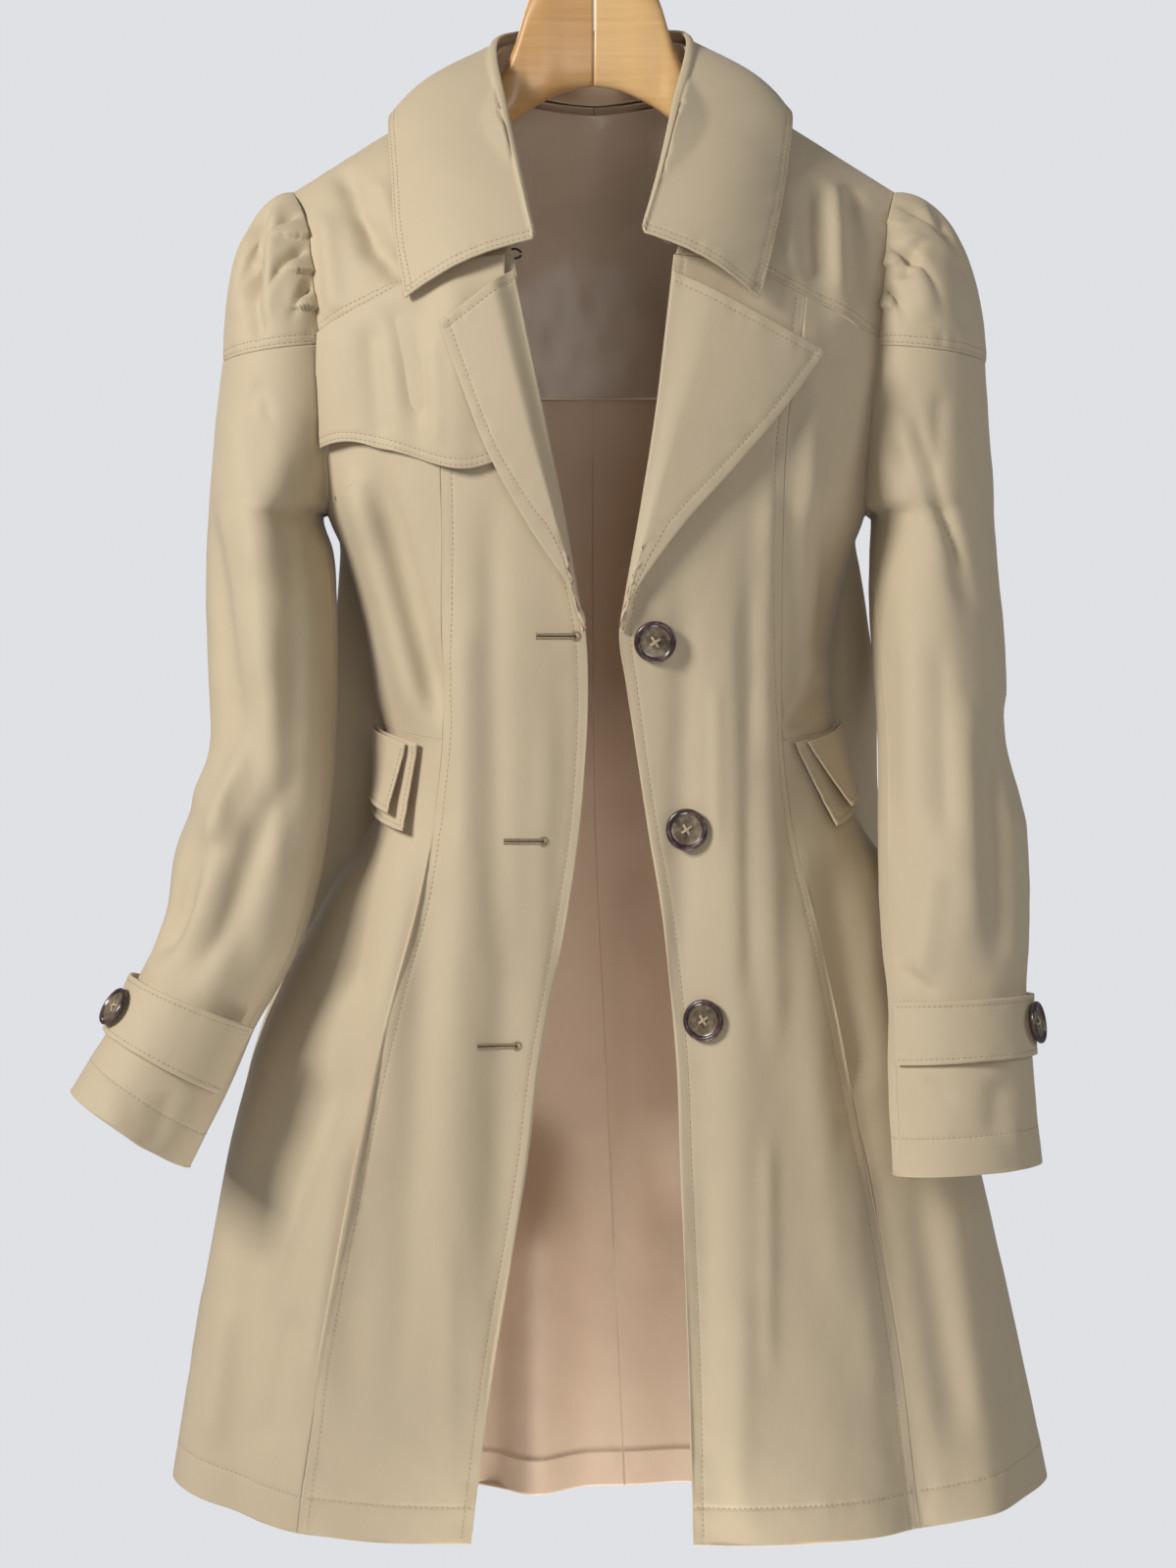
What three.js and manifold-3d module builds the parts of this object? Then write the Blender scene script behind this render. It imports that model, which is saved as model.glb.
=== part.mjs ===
import * as THREE from 'three';
import Module from 'manifold-3d';

// Women's trench coat, hung open on a wooden hanger, in millimetres.
// +Z is up, the coat faces -Y, and -X is the wearer's right side.
// The origin is the inside of the hook's crown, where a rail carries the hanger.

const wasm = await Module();
wasm.setup();

// Cloth
const CLOTH = 1.5;            // wall of one layer of gabardine
const DOUBLE_CLOTH = 2.4;     // collar, lapel and strap, two layers turned out
const POCKET_CLOTH = 2;       // one layer of a pocket flap with its backing
const SATIN = 1.0;            // wall of the neck lining
const LINING_GAP = 2.2;       // the lining hangs this far inside the back
const HALF_SEAM = 0.22;       // each edge stops this far from its seam line
const SQUARENESS = 2.4;       // superellipse exponent of the body's horizontal sections
const SIDE_BLEND = 0.5;       // how softly the back's width turns into the front's at the side seam

// Shoulders and the main levels
const RIDGE_TOP = -98;        // height where both shoulder lines would meet
const SHOULDER_SLOPE = 0.625;
const RIDGE_ROUND = 10;
const CAP_HEIGHT = 150;       // drop over which the body reaches its full depth
const CAP_POWER = 0.75;
const TIP_Z = -213;           // shoulder tip
const UNDERARM_Z = -410;
const WAIST_SEAM_Z = -549;    // at the princess seams
const WAIST_SIDE_Z = -537;    // at the side seams
const HEM_FRONT_Z = -1026;
const HEM_SIDE_Z = -997;
const HEM_BACK_Z = -1020;
const LINING_HEM_Z = -330;

// The centre back seam swings to the wearer's left below the waist
const CENTRE_BACK = [
  { z: -100, x: 0 },
  { z: -560, x: 0 },
  { z: -760, x: 8 },
  { z: -1030, x: 20 },
];

// Half widths and depths of the body by height
const BODY = [
  { z: -98, frontRight: 200, frontLeft: 200, backRight: 200, backLeft: 200, front: 80, back: 88 },
  { z: -213, frontRight: 200, frontLeft: 200, backRight: 200, backLeft: 200, front: 87, back: 98 },
  { z: -260, frontRight: 191, frontLeft: 192, backRight: 191, backLeft: 192, front: 95, back: 102 },
  { z: -307, frontRight: 181, frontLeft: 184, backRight: 181, backLeft: 184, front: 102, back: 104 },
  { z: -360, frontRight: 171, frontLeft: 174, backRight: 172, backLeft: 175, front: 107, back: 104 },
  { z: -410, frontRight: 163, frontLeft: 166, backRight: 163, backLeft: 166, front: 106, back: 99 },
  { z: -440, frontRight: 150, frontLeft: 155, backRight: 172, backLeft: 180, front: 104, back: 95 },
  { z: -480, frontRight: 139, frontLeft: 146, backRight: 178, backLeft: 189, front: 101, back: 90 },
  { z: -520, frontRight: 133, frontLeft: 143, backRight: 184, backLeft: 194, front: 97, back: 85 },
  { z: -550, frontRight: 128, frontLeft: 148, backRight: 188, backLeft: 194, front: 96, back: 84 },
  { z: -590, frontRight: 131, frontLeft: 158, backRight: 196, backLeft: 195, front: 96, back: 87 },
  { z: -635, frontRight: 159, frontLeft: 181, backRight: 205, backLeft: 199, front: 97, back: 91 },
  { z: -700, frontRight: 188, frontLeft: 205, backRight: 218, backLeft: 214, front: 98, back: 94 },
  { z: -746, frontRight: 208, frontLeft: 220, backRight: 228, backLeft: 226, front: 98, back: 95 },
  { z: -863, frontRight: 235, frontLeft: 248, backRight: 235, backLeft: 248, front: 98, back: 94 },
  { z: -998, frontRight: 257, frontLeft: 277, backRight: 257, backLeft: 277, front: 96, back: 91 },
  { z: -1040, frontRight: 262, frontLeft: 283, backRight: 262, backLeft: 283, front: 95, back: 90 },
];

// Half distance between the armhole seams by height
const ARMHOLE = [
  { z: -213, right: 184, left: 184 },
  { z: -233, right: 175, left: 179 },
  { z: -267, right: 170, left: 176 },
  { z: -307, right: 166, left: 172 },
  { z: -350, right: 162, left: 168 },
  { z: -385, right: 160, left: 165 },
  { z: -405, right: 161, left: 164.5 },
  { z: -410, right: 163, left: 166 },
];

// Front edges, which are the lapel roll lines above the top button, and princess seams
const FRONT_LINES = [
  { z: -262, edgeRight: -48, edgeLeft: 47, seamRight: -104, seamLeft: 128 },
  { z: -315, edgeRight: -38, edgeLeft: 41, seamRight: -97, seamLeft: 122 },
  { z: -356, edgeRight: -29.5, edgeLeft: 36, seamRight: -92, seamLeft: 115 },
  { z: -413, edgeRight: -18, edgeLeft: 27, seamRight: -90, seamLeft: 111.5 },
  { z: -465, edgeRight: -9, edgeLeft: 18, seamRight: -90, seamLeft: 110.5 },
  { z: -488, edgeRight: -4.6, edgeLeft: 15, seamRight: -90, seamLeft: 110.5 },
  { z: -517, edgeRight: -3.5, edgeLeft: 19.5, seamRight: -89.5, seamLeft: 110.5 },
  { z: -549, edgeRight: -4.5, edgeLeft: 24.5, seamRight: -89, seamLeft: 111.5 },
  { z: -604, edgeRight: -9, edgeLeft: 33, seamRight: -96, seamLeft: 119 },
  { z: -662, edgeRight: -18, edgeLeft: 42.5, seamRight: -107, seamLeft: 133 },
  { z: -737, edgeRight: -32, edgeLeft: 49.5, seamRight: -126, seamLeft: 150 },
  { z: -806, edgeRight: -41, edgeLeft: 52, seamRight: -139, seamLeft: 165 },
  { z: -921, edgeRight: -61, edgeLeft: 57, seamRight: -159, seamLeft: 185 },
  { z: -1030, edgeRight: -75, edgeLeft: 60, seamRight: -176, seamLeft: 198 },
];

// How far the cloth beside the opening turns inwards, by height
const EDGE_TURN = [
  { z: -262, depth: 0 },
  { z: -430, depth: 1 },
  { z: -520, depth: 8 },
  { z: -700, depth: 13 },
  { z: -880, depth: 10 },
  { z: -1030, depth: 12 },
];
const EDGE_TURN_WIDTH = 38;

// Seam between yoke and fronts, from the neck to the armhole
const YOKE_SEAM = [
  { x: 40, z: -262 },
  { x: 80, z: -266 },
  { x: 115, z: -280 },
  { x: 170, z: -307 },
];

// Neckline on the front and on the back
const FRONT_NECK = [
  { z: -142, x: 70.5 },
  { z: -178, x: 69 },
  { z: -222, x: 61 },
  { z: -262, x: 48 },
];
const BACK_NECK = [
  { x: 0, z: -151 },
  { x: 26, z: -150 },
  { x: 50, z: -147.5 },
  { x: 70.5, z: -142.5 },
];

// Main folds: a line from its top to its foot, its width and its height (below 0 is a trough)
const FRONT_FOLDS = [
  { topX: -150, topZ: -372, footX: -98, footZ: -560, width: 10, height: 6 },
  { topX: -134, topZ: -372, footX: -88, footZ: -545, width: 9, height: -6 },
  { topX: -76, topZ: -400, footX: -82, footZ: -940, width: 15, height: 4 },
  { topX: -100, topZ: -590, footX: -186, footZ: -1080, width: 14, height: 6 },
  { topX: -148, topZ: -760, footX: -170, footZ: -960, width: 14, height: 6 },
  { topX: -200, topZ: -800, footX: -226, footZ: -1100, width: 16, height: -7 },
  { topX: 84, topZ: -400, footX: 84, footZ: -1080, width: 17, height: 5 },
  { topX: 104, topZ: -380, footX: 102, footZ: -570, width: 8, height: 4 },
  { topX: 126, topZ: -350, footX: 124, footZ: -540, width: 9, height: 5 },
  { topX: 150, topZ: -700, footX: 205, footZ: -1100, width: 15, height: -6 },
  { topX: 205, topZ: -760, footX: 250, footZ: -1100, width: 16, height: 8 },
  { topX: -128, topZ: -205, footX: -122, footZ: -285, width: 11, height: -4 },
  { topX: 152, topZ: -215, footX: 150, footZ: -310, width: 9, height: 4 },
];
const BACK_FOLDS = [
  { topX: -38, topZ: -780, footX: -38, footZ: -1180, width: 22, height: -36 },
  { topX: -84, topZ: -760, footX: -96, footZ: -1130, width: 22, height: 12 },
  { topX: 48, topZ: -780, footX: 62, footZ: -1130, width: 24, height: 13 },
  { topX: 110, topZ: -760, footX: 128, footZ: -1130, width: 22, height: -11 },
  { topX: 165, topZ: -700, footX: 195, footZ: -1130, width: 24, height: 11 },
  { topX: -150, topZ: -720, footX: -168, footZ: -1130, width: 22, height: -11 },
  { topX: -200, topZ: -720, footX: -218, footZ: -1130, width: 20, height: 8 },
  { topX: 70, topZ: -430, footX: 60, footZ: -640, width: 14, height: -5 },
  { topX: -66, topZ: -420, footX: -60, footZ: -650, width: 14, height: -5 },
  { topX: -120, topZ: -240, footX: -100, footZ: -420, width: 16, height: -4 },
  { topX: 122, topZ: -240, footX: 104, footZ: -430, width: 16, height: -4 },
];
const FOLD_FADE = 0.22;

// Sleeves below the cap seam: outer and inner line, centre, half depth,
// and how far the outer side of a section is raised over its centre
const SLEEVE = {
  right: [
    { z: -313, outer: 226, inner: 160, y: 0, depth: 56, raise: 0 },
    { z: -360, outer: 232, inner: 160, y: 0, depth: 60, raise: 0 },
    { z: -412, outer: 236, inner: 166, y: -2, depth: 63, raise: 0 },
    { z: -432, outer: 236.5, inner: 159.5, y: -7, depth: 62, raise: 0 },
    { z: -460, outer: 236, inner: 156.5, y: -15, depth: 59, raise: 0 },
    { z: -490, outer: 234, inner: 155.5, y: -24, depth: 56, raise: 0 },
    { z: -551, outer: 231, inner: 156, y: -38, depth: 50, raise: 0 },
    { z: -590, outer: 240, inner: 159, y: -48, depth: 46, raise: 5 },
    { z: -625, outer: 251, inner: 165, y: -54, depth: 45, raise: 9 },
    { z: -665, outer: 256, inner: 178, y: -62, depth: 42, raise: 13 },
    { z: -704, outer: 269, inner: 202, y: -70, depth: 39, raise: 17 },
    { z: -738, outer: 287, inner: 218, y: -76, depth: 40, raise: 20 },
    { z: -779, outer: 310, inner: 239, y: -82, depth: 43, raise: 23 },
  ],
  left: [
    { z: -313, outer: 239, inner: 164, y: 0, depth: 56, raise: 0 },
    { z: -360, outer: 242, inner: 164, y: 0, depth: 60, raise: 0 },
    { z: -412, outer: 244.5, inner: 169, y: -2, depth: 63, raise: 0 },
    { z: -432, outer: 245.5, inner: 168, y: -7, depth: 62, raise: 0 },
    { z: -460, outer: 247, inner: 167, y: -16, depth: 59, raise: 0 },
    { z: -490, outer: 248, inner: 168, y: -26, depth: 56, raise: 0 },
    { z: -551, outer: 249.5, inner: 171, y: -45, depth: 50, raise: 0 },
    { z: -590, outer: 257, inner: 170, y: -60, depth: 46, raise: 0 },
    { z: -633, outer: 258.5, inner: 169, y: -74, depth: 43, raise: 0 },
    { z: -668, outer: 257, inner: 170, y: -87, depth: 41, raise: 1 },
    { z: -700, outer: 254, inner: 173, y: -96, depth: 39, raise: 2 },
    { z: -740, outer: 257, inner: 172.5, y: -104, depth: 40, raise: 3 },
    { z: -800, outer: 262, inner: 174.5, y: -110, depth: 43, raise: 3.5 },
  ],
};

// Sleeve folds: angle from the outer side towards the front, in degrees
const SLEEVE_FOLDS = {
  right: [
    { topTurn: 30, topZ: -400, footTurn: 62, footZ: -560, width: 14, height: -5 },
    { topTurn: 66, topZ: -600, footTurn: 22, footZ: -700, width: 15, height: -8 },
    { topTurn: 110, topZ: -560, footTurn: 78, footZ: -700, width: 13, height: -6 },
    { topTurn: 96, topZ: -340, footTurn: 92, footZ: -560, width: 16, height: 4 },
    { topTurn: 62, topZ: -540, footTurn: 58, footZ: -690, width: 12, height: 5 },
    { topTurn: -50, topZ: -430, footTurn: -90, footZ: -600, width: 16, height: -5 },
    { topTurn: -60, topZ: -590, footTurn: -30, footZ: -700, width: 15, height: -6 },
  ],
  left: [
    { topTurn: 116, topZ: -360, footTurn: 62, footZ: -480, width: 11, height: -4 },
    { topTurn: 92, topZ: -400, footTurn: 98, footZ: -700, width: 18, height: 3 },
    { topTurn: 10, topZ: -520, footTurn: 22, footZ: -600, width: 14, height: -5 },
    { topTurn: -50, topZ: -430, footTurn: -84, footZ: -600, width: 16, height: -5 },
    { topTurn: -96, topZ: -520, footTurn: -60, footZ: -690, width: 15, height: -5 },
  ],
};
const SEAM_TURN = { front: 156, back: 128 };   // where top and under sleeve are joined, in degrees
const CAP_SEAM_DROP = 10;      // the cap seam is this much lower on the outer side
const CAP_ARM_Z = -299;        // lowest point of the cap on the armhole
const SLEEVE_ARM_GAP = 2.2;    // the sleeve stands this far off the armhole at the underarm
const CAP_PUFF = 2.5;
const PLEATS = { right: [0.28, 0.55, 0.78], left: [0.2, 0.54, 0.79] };
const PLEAT_DEPTH = 7;
const PLEAT_WIDTH = 0.035;
const PLEAT_RISE = 0.2;
const PLEAT_REACH = 0.85;      // the pleats fade out this far down the cap
const PLEAT_SPREAD = 0.06;     // the grid lines beside a pleat's valley
const PLEAT_SPAN = 0.13;

// Lapels: the roll line and the outer edge, from the top to the top button
const LAPEL = {
  right: [
    { at: 0, rollX: -47, rollZ: -273, outerX: -88.5, outerZ: -305 },
    { at: 1, rollX: -38, rollZ: -316, outerX: -76, outerZ: -341 },
    { at: 2, rollX: -29.5, rollZ: -357, outerX: -60, outerZ: -382 },
    { at: 3, rollX: -18.5, rollZ: -411, outerX: -37, outerZ: -424 },
    { at: 4, rollX: -9, rollZ: -463, outerX: -15, outerZ: -458 },
    { at: 5, rollX: -4.8, rollZ: -485, outerX: -7.5, outerZ: -481 },
  ],
  left: [
    { at: 0, rollX: 46, rollZ: -273, outerX: 134, outerZ: -319.5 },
    { at: 1, rollX: 41, rollZ: -316, outerX: 108, outerZ: -356 },
    { at: 2, rollX: 36, rollZ: -357, outerX: 79, outerZ: -391 },
    { at: 3, rollX: 27.5, rollZ: -411, outerX: 52, outerZ: -422 },
    { at: 4, rollX: 18.5, rollZ: -463, outerX: 25, outerZ: -460 },
    { at: 5, rollX: 15.2, rollZ: -485, outerX: 18.5, outerZ: -480 },
  ],
};
const LAPEL_ROLL_LIFT = 4.2;
const LAPEL_ROLL_SHARE = 0.3;  // share of the width over which it rises from the roll line
const LAPEL_TAPER_FROM = 0.72; // below this it lies down towards the top button
const LAPEL_LIFT = { right: 12.5, left: 8 };   // the right one lies on the storm flap

// Storm flap on the wearer's right: its wavy lower edge
const STORM_FLAP = [
  { x: -52, z: -384 },
  { x: -73, z: -390 },
  { x: -92, z: -387 },
  { x: -120, z: -377 },
  { x: -144, z: -371 },
  { x: -163, z: -374 },
];
const FLAP_LIFT = 5.2;
const FLAP_TOP_LIFT = 4.1;
const FLAP_TOP_GAP = 1;
const FLAP_ARM_GAP = 1.5;
const FLAP_FOLDS = [
  { topX: -101, topZ: -262, footX: -104, footZ: -430, width: 9, height: -2.6 },
  { topX: -81, topZ: -262, footX: -80, footZ: -430, width: 10, height: 2.5 },
  { topX: -150, topZ: -285, footX: -151, footZ: -430, width: 10, height: 3 },
];

// Collar from the right front end round the back to the left front end:
// the roll line, the outer edge of the leaf, and the neck seam; face is -1 in front
const COLLAR = [
  { at: 0, rollX: -35, rollY: -104, rollZ: -251, edgeX: -112, edgeZ: -288, neckX: -47, neckZ: -262, face: -1 },
  { at: 1, rollX: -44, rollY: -81, rollZ: -210, edgeX: -119, edgeZ: -250, neckX: -61, neckZ: -222, face: -1 },
  { at: 2, rollX: -54, rollY: -46, rollZ: -165, edgeX: -122, edgeZ: -212, neckX: -69, neckZ: -178, face: -1 },
  { at: 3, rollX: -61, rollY: -10, rollZ: -124, edgeX: -125, edgeZ: -167, neckX: -70.5, neckZ: -142, face: -1 },
  { at: 4, rollX: -48, rollY: 28, rollZ: -109, edgeX: -110, edgeZ: -188, neckX: -50, neckZ: -147.5, face: 1 },
  { at: 5, rollX: -25, rollY: 46, rollZ: -105, edgeX: -58, edgeZ: -194, neckX: -26, neckZ: -150, face: 1 },
  { at: 6, rollX: 0, rollY: 51, rollZ: -104, edgeX: 0, edgeZ: -195, neckX: 0, neckZ: -151, face: 1 },
  { at: 7, rollX: 24, rollY: 46, rollZ: -105, edgeX: 57, edgeZ: -194, neckX: 26, neckZ: -150, face: 1 },
  { at: 8, rollX: 45, rollY: 28, rollZ: -108, edgeX: 107, edgeZ: -188, neckX: 50, neckZ: -147.5, face: 1 },
  { at: 9, rollX: 58, rollY: -10, rollZ: -121, edgeX: 121, edgeZ: -165, neckX: 70.5, neckZ: -142, face: -1 },
  { at: 10, rollX: 48.5, rollY: -46, rollZ: -165, edgeX: 116, edgeZ: -210, neckX: 69, neckZ: -178, face: -1 },
  { at: 11, rollX: 38.5, rollY: -81, rollZ: -210, edgeX: 108, edgeZ: -250, neckX: 61, neckZ: -222, face: -1 },
  { at: 12, rollX: 28.5, rollY: -104, rollZ: -247, edgeX: 98, edgeZ: -289, neckX: 46, neckZ: -262, face: -1 },
];
const LEAF_LIFT = 8.5;        // the leaf's outer edge stands off the shoulders
const LEAF_CROWN = 7;
const ROLL_RADIUS = 3.2;
const STAND_INSET = 3.6;      // the stand's lower edge lies inside the neckline
const STAND_TOP_INSET = 0.4;
const STAND_TOP_DROP = 7.5;   // the stand ends this far below the roll
const STAND_END_SHARE = 0.012;

// Pocket flaps: front edge from the waist seam to the foot, and how far the foot flares
const POCKET_FLAPS = [
  { name: 'upper', side: 'right', topX: -107, footX: -113, footZ: -597, lift: 7.1, flare: 8 },
  { name: 'under', side: 'right', topX: -102, footX: -109, footZ: -606, lift: 4.2, flare: 4 },
  { name: 'upper', side: 'left', topX: 124, footX: 145, footZ: -592, lift: 5.2, flare: 8 },
  { name: 'under', side: 'left', topX: 118, footX: 141, footZ: -602, lift: 2.5, flare: 4 },
];
const POCKET_END_TURN = 84;   // degrees round the side
const POCKET_TOP_GAP = 1.2;
const POCKET_END_LIFT = 0.8;
const POCKET_FOOT_RISE = 16;  // the foot rises towards the side

// Cuff straps
const STRAP_HEIGHT = 36;
const STRAP_FOOT_LIFT = 3.7;
const STRAPS = {
  right: { z: -704, lift: 7.5, from: 150, to: -112 },
  left: { z: -700, lift: 5.2, from: 150, to: -112 },
};

// Buttons
const BUTTON_RADIUS = 12.5;
const BUTTON_THICKNESS = 4;
const BUTTON_HOLE_RADIUS = 1.1;
const BUTTON_HOLE_REACH = 3.2;
const BUTTON_FACETS = 14;
const FRONT_BUTTONS = [
  { name: 'button_top', x: 36.5, z: -491, standoff: 0.45 },
  { name: 'button_middle', x: 56.5, z: -602, standoff: 1.0 },
  { name: 'button_low', x: 67, z: -714.5, standoff: 1.6 },
];
const CUFF_BUTTONS = [
  { name: 'cuff_button_right', side: 'right', turn: 26, drop: 20, standoff: 0.2 },
  { name: 'cuff_button_left', side: 'left', turn: 20, drop: 17, standoff: 1.1 },
];

// Hanger: one arm by distance from the middle
const HANGER_ARM = [
  { x: 0, top: -71, foot: -148, y: 0, half: 9 },
  { x: 16, top: -73, foot: -151, y: 0, half: 9.5 },
  { x: 30, top: -81, foot: -157, y: -1, half: 10 },
  { x: 40, top: -96, foot: -163, y: -1, half: 10 },
  { x: 48, top: -122, foot: -169, y: -2, half: 10 },
  { x: 60, top: -147, foot: -175, y: -2, half: 9.5 },
  { x: 90, top: -160, foot: -192, y: -3, half: 10 },
  { x: 125, top: -183.2, foot: -211, y: -4, half: 9 },
  { x: 155, top: -205.7, foot: -229, y: -4, half: 7.5 },
  { x: 170, top: -217.2, foot: -235, y: -4, half: 5 },
];
const HANGER_FACETS = 12;
const HANGER_SQUARENESS = 3;
const HOOK_WIRE = 2.2;
const HOOK_INSIDE = 17;
const HOOK_STEPS = 30;

// Finishes
const GABARDINE = new THREE.MeshStandardMaterial({ color: 0xc9b48c, roughness: 0.72, metalness: 0 });
const SATIN_LINING = new THREE.MeshStandardMaterial({ color: 0x87765f, roughness: 0.4, metalness: 0 });
const WOOD = new THREE.MeshStandardMaterial({ color: 0xd9a866, roughness: 0.45, metalness: 0 });
const STEEL = new THREE.MeshStandardMaterial({ color: 0xc4c4c6, roughness: 0.25, metalness: 1 });
const HORN = new THREE.MeshStandardMaterial({ color: 0x3b2823, roughness: 0.25, metalness: 0 });

const SIDES = ['right', 'left'];
const coat = new THREE.Group();

// Small helpers
const clamp = (value, low, high) => Math.min(high, Math.max(low, value));
const mix = (a, b, share) => a + (b - a) * share;
const radians = (degrees) => (degrees * Math.PI) / 180;
const smooth = (value) => {
  const u = clamp(value, 0, 1);
  return u * u * (3 - 2 * u);
};
const signedPower = (value, power) => Math.sign(value) * Math.abs(value) ** power;
const directionOf = (side) => (side === 'right' ? -1 : 1);
const capital = (side) => (side === 'right' ? 'Right' : 'Left');
const steps = (count) => Array.from({ length: count + 1 }, (unused, i) => i / count);
const vector = (x, y, z) => new THREE.Vector3(x, y, z);

// Reads one column of a table at a value of another column, on a smooth curve
function read(table, by, key, value) {
  const rising = table[table.length - 1][by] > table[0][by];
  const isPast = (row) => (rising ? value > row[by] : value < row[by]);
  let i = 0;
  while (i < table.length - 2 && isPast(table[i + 1])) {
    i += 1;
  }
  const a = table[i];
  const b = table[i + 1];
  const before = table[i - 1] ?? a;
  const after = table[i + 2] ?? b;
  const span = b[by] - a[by];
  const u = clamp((value - a[by]) / span, 0, 1);
  const slopeA = ((b[key] - before[key]) / (b[by] - before[by])) * span;
  const slopeB = ((after[key] - a[key]) / (after[by] - a[by])) * span;
  const u2 = u * u;
  const u3 = u2 * u;
  const ends = (2 * u3 - 3 * u2 + 1) * a[key] + (3 * u2 - 2 * u3) * b[key];
  return ends + (u3 - 2 * u2 + u) * slopeA + (u3 - u2) * slopeB;
}

// Height of a set of folds at one place
function foldHeight(folds, topKey, footKey, across, z) {
  let height = 0;
  for (const fold of folds) {
    const along = (z - fold.topZ) / (fold.footZ - fold.topZ);
    if (along > 0 && along < 1) {
      const ends = smooth(along / FOLD_FADE) * smooth((1 - along) / FOLD_FADE);
      const away = (across - mix(fold[topKey], fold[footKey], along)) / fold.width;
      height += fold.height * ends * Math.exp(-away * away);
    }
  }
  return height;
}

// The body: a point of the outer face by its turn round the body (0 in front, left side positive)
const ridgeHeight = (x) => RIDGE_TOP - SHOULDER_SLOPE * (Math.hypot(x, RIDGE_ROUND) - RIDGE_ROUND * 0.1);

function shoulderCap(x, z) {
  const below = clamp((ridgeHeight(x) - z) / CAP_HEIGHT, 0, 1);
  return (1 - (1 - below) ** 2) ** CAP_POWER;
}

function bodyPoint(turn, z) {
  const side = Math.sin(turn) < 0 ? 'Right' : 'Left';
  const facing = Math.cos(turn);
  const frontShare = smooth((facing + SIDE_BLEND) / SIDE_BLEND);
  const half = mix(read(BODY, 'z', `back${side}`, z), read(BODY, 'z', `front${side}`, z), frontShare);
  const x = half * signedPower(Math.sin(turn), 2 / SQUARENESS);
  const depth = read(BODY, 'z', facing > 0 ? 'front' : 'back', z) * shoulderCap(x, z);
  const y = -depth * signedPower(facing, 2 / SQUARENESS);
  let push = foldHeight(facing > 0 ? FRONT_FOLDS : BACK_FOLDS, 'topX', 'footX', x, z);
  if (facing > 0) {
    const fromEdge = (x - read(FRONT_LINES, 'z', `edge${side}`, z)) / EDGE_TURN_WIDTH;
    push -= read(EDGE_TURN, 'z', 'depth', z) * Math.exp(-fromEdge * fromEdge);
  }
  const flat = Math.abs(facing) ** 0.5 * Math.sign(facing);
  return vector(x + push * Math.sin(turn) * 0.6, y - push * flat, z);
}

// The turn at which a section passes through x, on the front or (back = true) on the back
function turnAt(x, z, back = false) {
  const side = x < 0 ? 'Right' : 'Left';
  const half = read(BODY, 'z', `${back ? 'back' : 'front'}${side}`, z);
  const share = clamp(Math.abs(x) / half, 0, 1);
  const turn = Math.asin(share ** (SQUARENESS / 2));
  return (x < 0 ? -1 : 1) * (back ? Math.PI - turn : turn);
}

const onBody = (x, z, face) => bodyPoint(turnAt(x, z, face > 0), z);

function armholeTurn(side, z, back) {
  if (z <= UNDERARM_Z) {
    return directionOf(side) * Math.PI / 2;
  }
  return turnAt(directionOf(side) * read(ARMHOLE, 'z', side, z), z, back);
}

// The unit normal of a surface given by two shares
function surfaceNormal(point, u, v) {
  const step = 0.004;
  const u0 = clamp(u - step, 0, 1);
  const u1 = clamp(u + step, 0, 1);
  const v0 = clamp(v - step, 0, 1);
  const v1 = clamp(v + step, 0, 1);
  const alongU = point(u1, v).sub(point(u0, v));
  const alongV = point(u, v1).sub(point(u, v0));
  return alongU.cross(alongV).normalize();
}

// The outward normal of the body at a place on it
function bodyNormal(turn, z) {
  const turnStep = 0.01;
  const zStep = 0.6;
  const round = bodyPoint(turn + turnStep, z).sub(bodyPoint(turn - turnStep, z));
  const down = bodyPoint(turn, z - zStep).sub(bodyPoint(turn, z));
  return down.cross(round).normalize();
}

// A point lifted off the body's outer face
function lifted(turn, z, lift) {
  return bodyPoint(turn, z).addScaledVector(bodyNormal(turn, z), lift);
}

// Length of the middle line of a surface in one of its two directions
function middleLength(line) {
  let length = 0;
  const places = steps(8);
  for (let i = 1; i < places.length; i += 1) {
    length += line(places[i]).distanceTo(line(places[i - 1]));
  }
  return length;
}

// The same surface, stopped short of its four edges
function withSeamGap(point, gap = HALF_SEAM) {
  const gapU = gap / middleLength((u) => point(u, 0.5));
  const gapV = gap / middleLength((v) => point(0.5, v));
  return (u, v) => point(mix(gapU, 1 - gapU, u), mix(gapV, 1 - gapV, v));
}

function addMesh(name, material, positions, indices) {
  const geometry = new THREE.BufferGeometry();
  geometry.setAttribute('position', new THREE.Float32BufferAttribute(positions, 3));
  geometry.setIndex(indices);
  geometry.computeVertexNormals();
  const mesh = new THREE.Mesh(geometry, material);
  mesh.name = name;
  coat.add(mesh);
  return mesh;
}

// Six times the volume that a closed set of triangles holds
function signedVolume(points, indices) {
  let volume = 0;
  for (let i = 0; i < indices.length; i += 3) {
    const [a, b, c] = [points[indices[i]], points[indices[i + 1]], points[indices[i + 2]]];
    volume += a.dot(b.clone().cross(c));
  }
  return volume;
}

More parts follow.
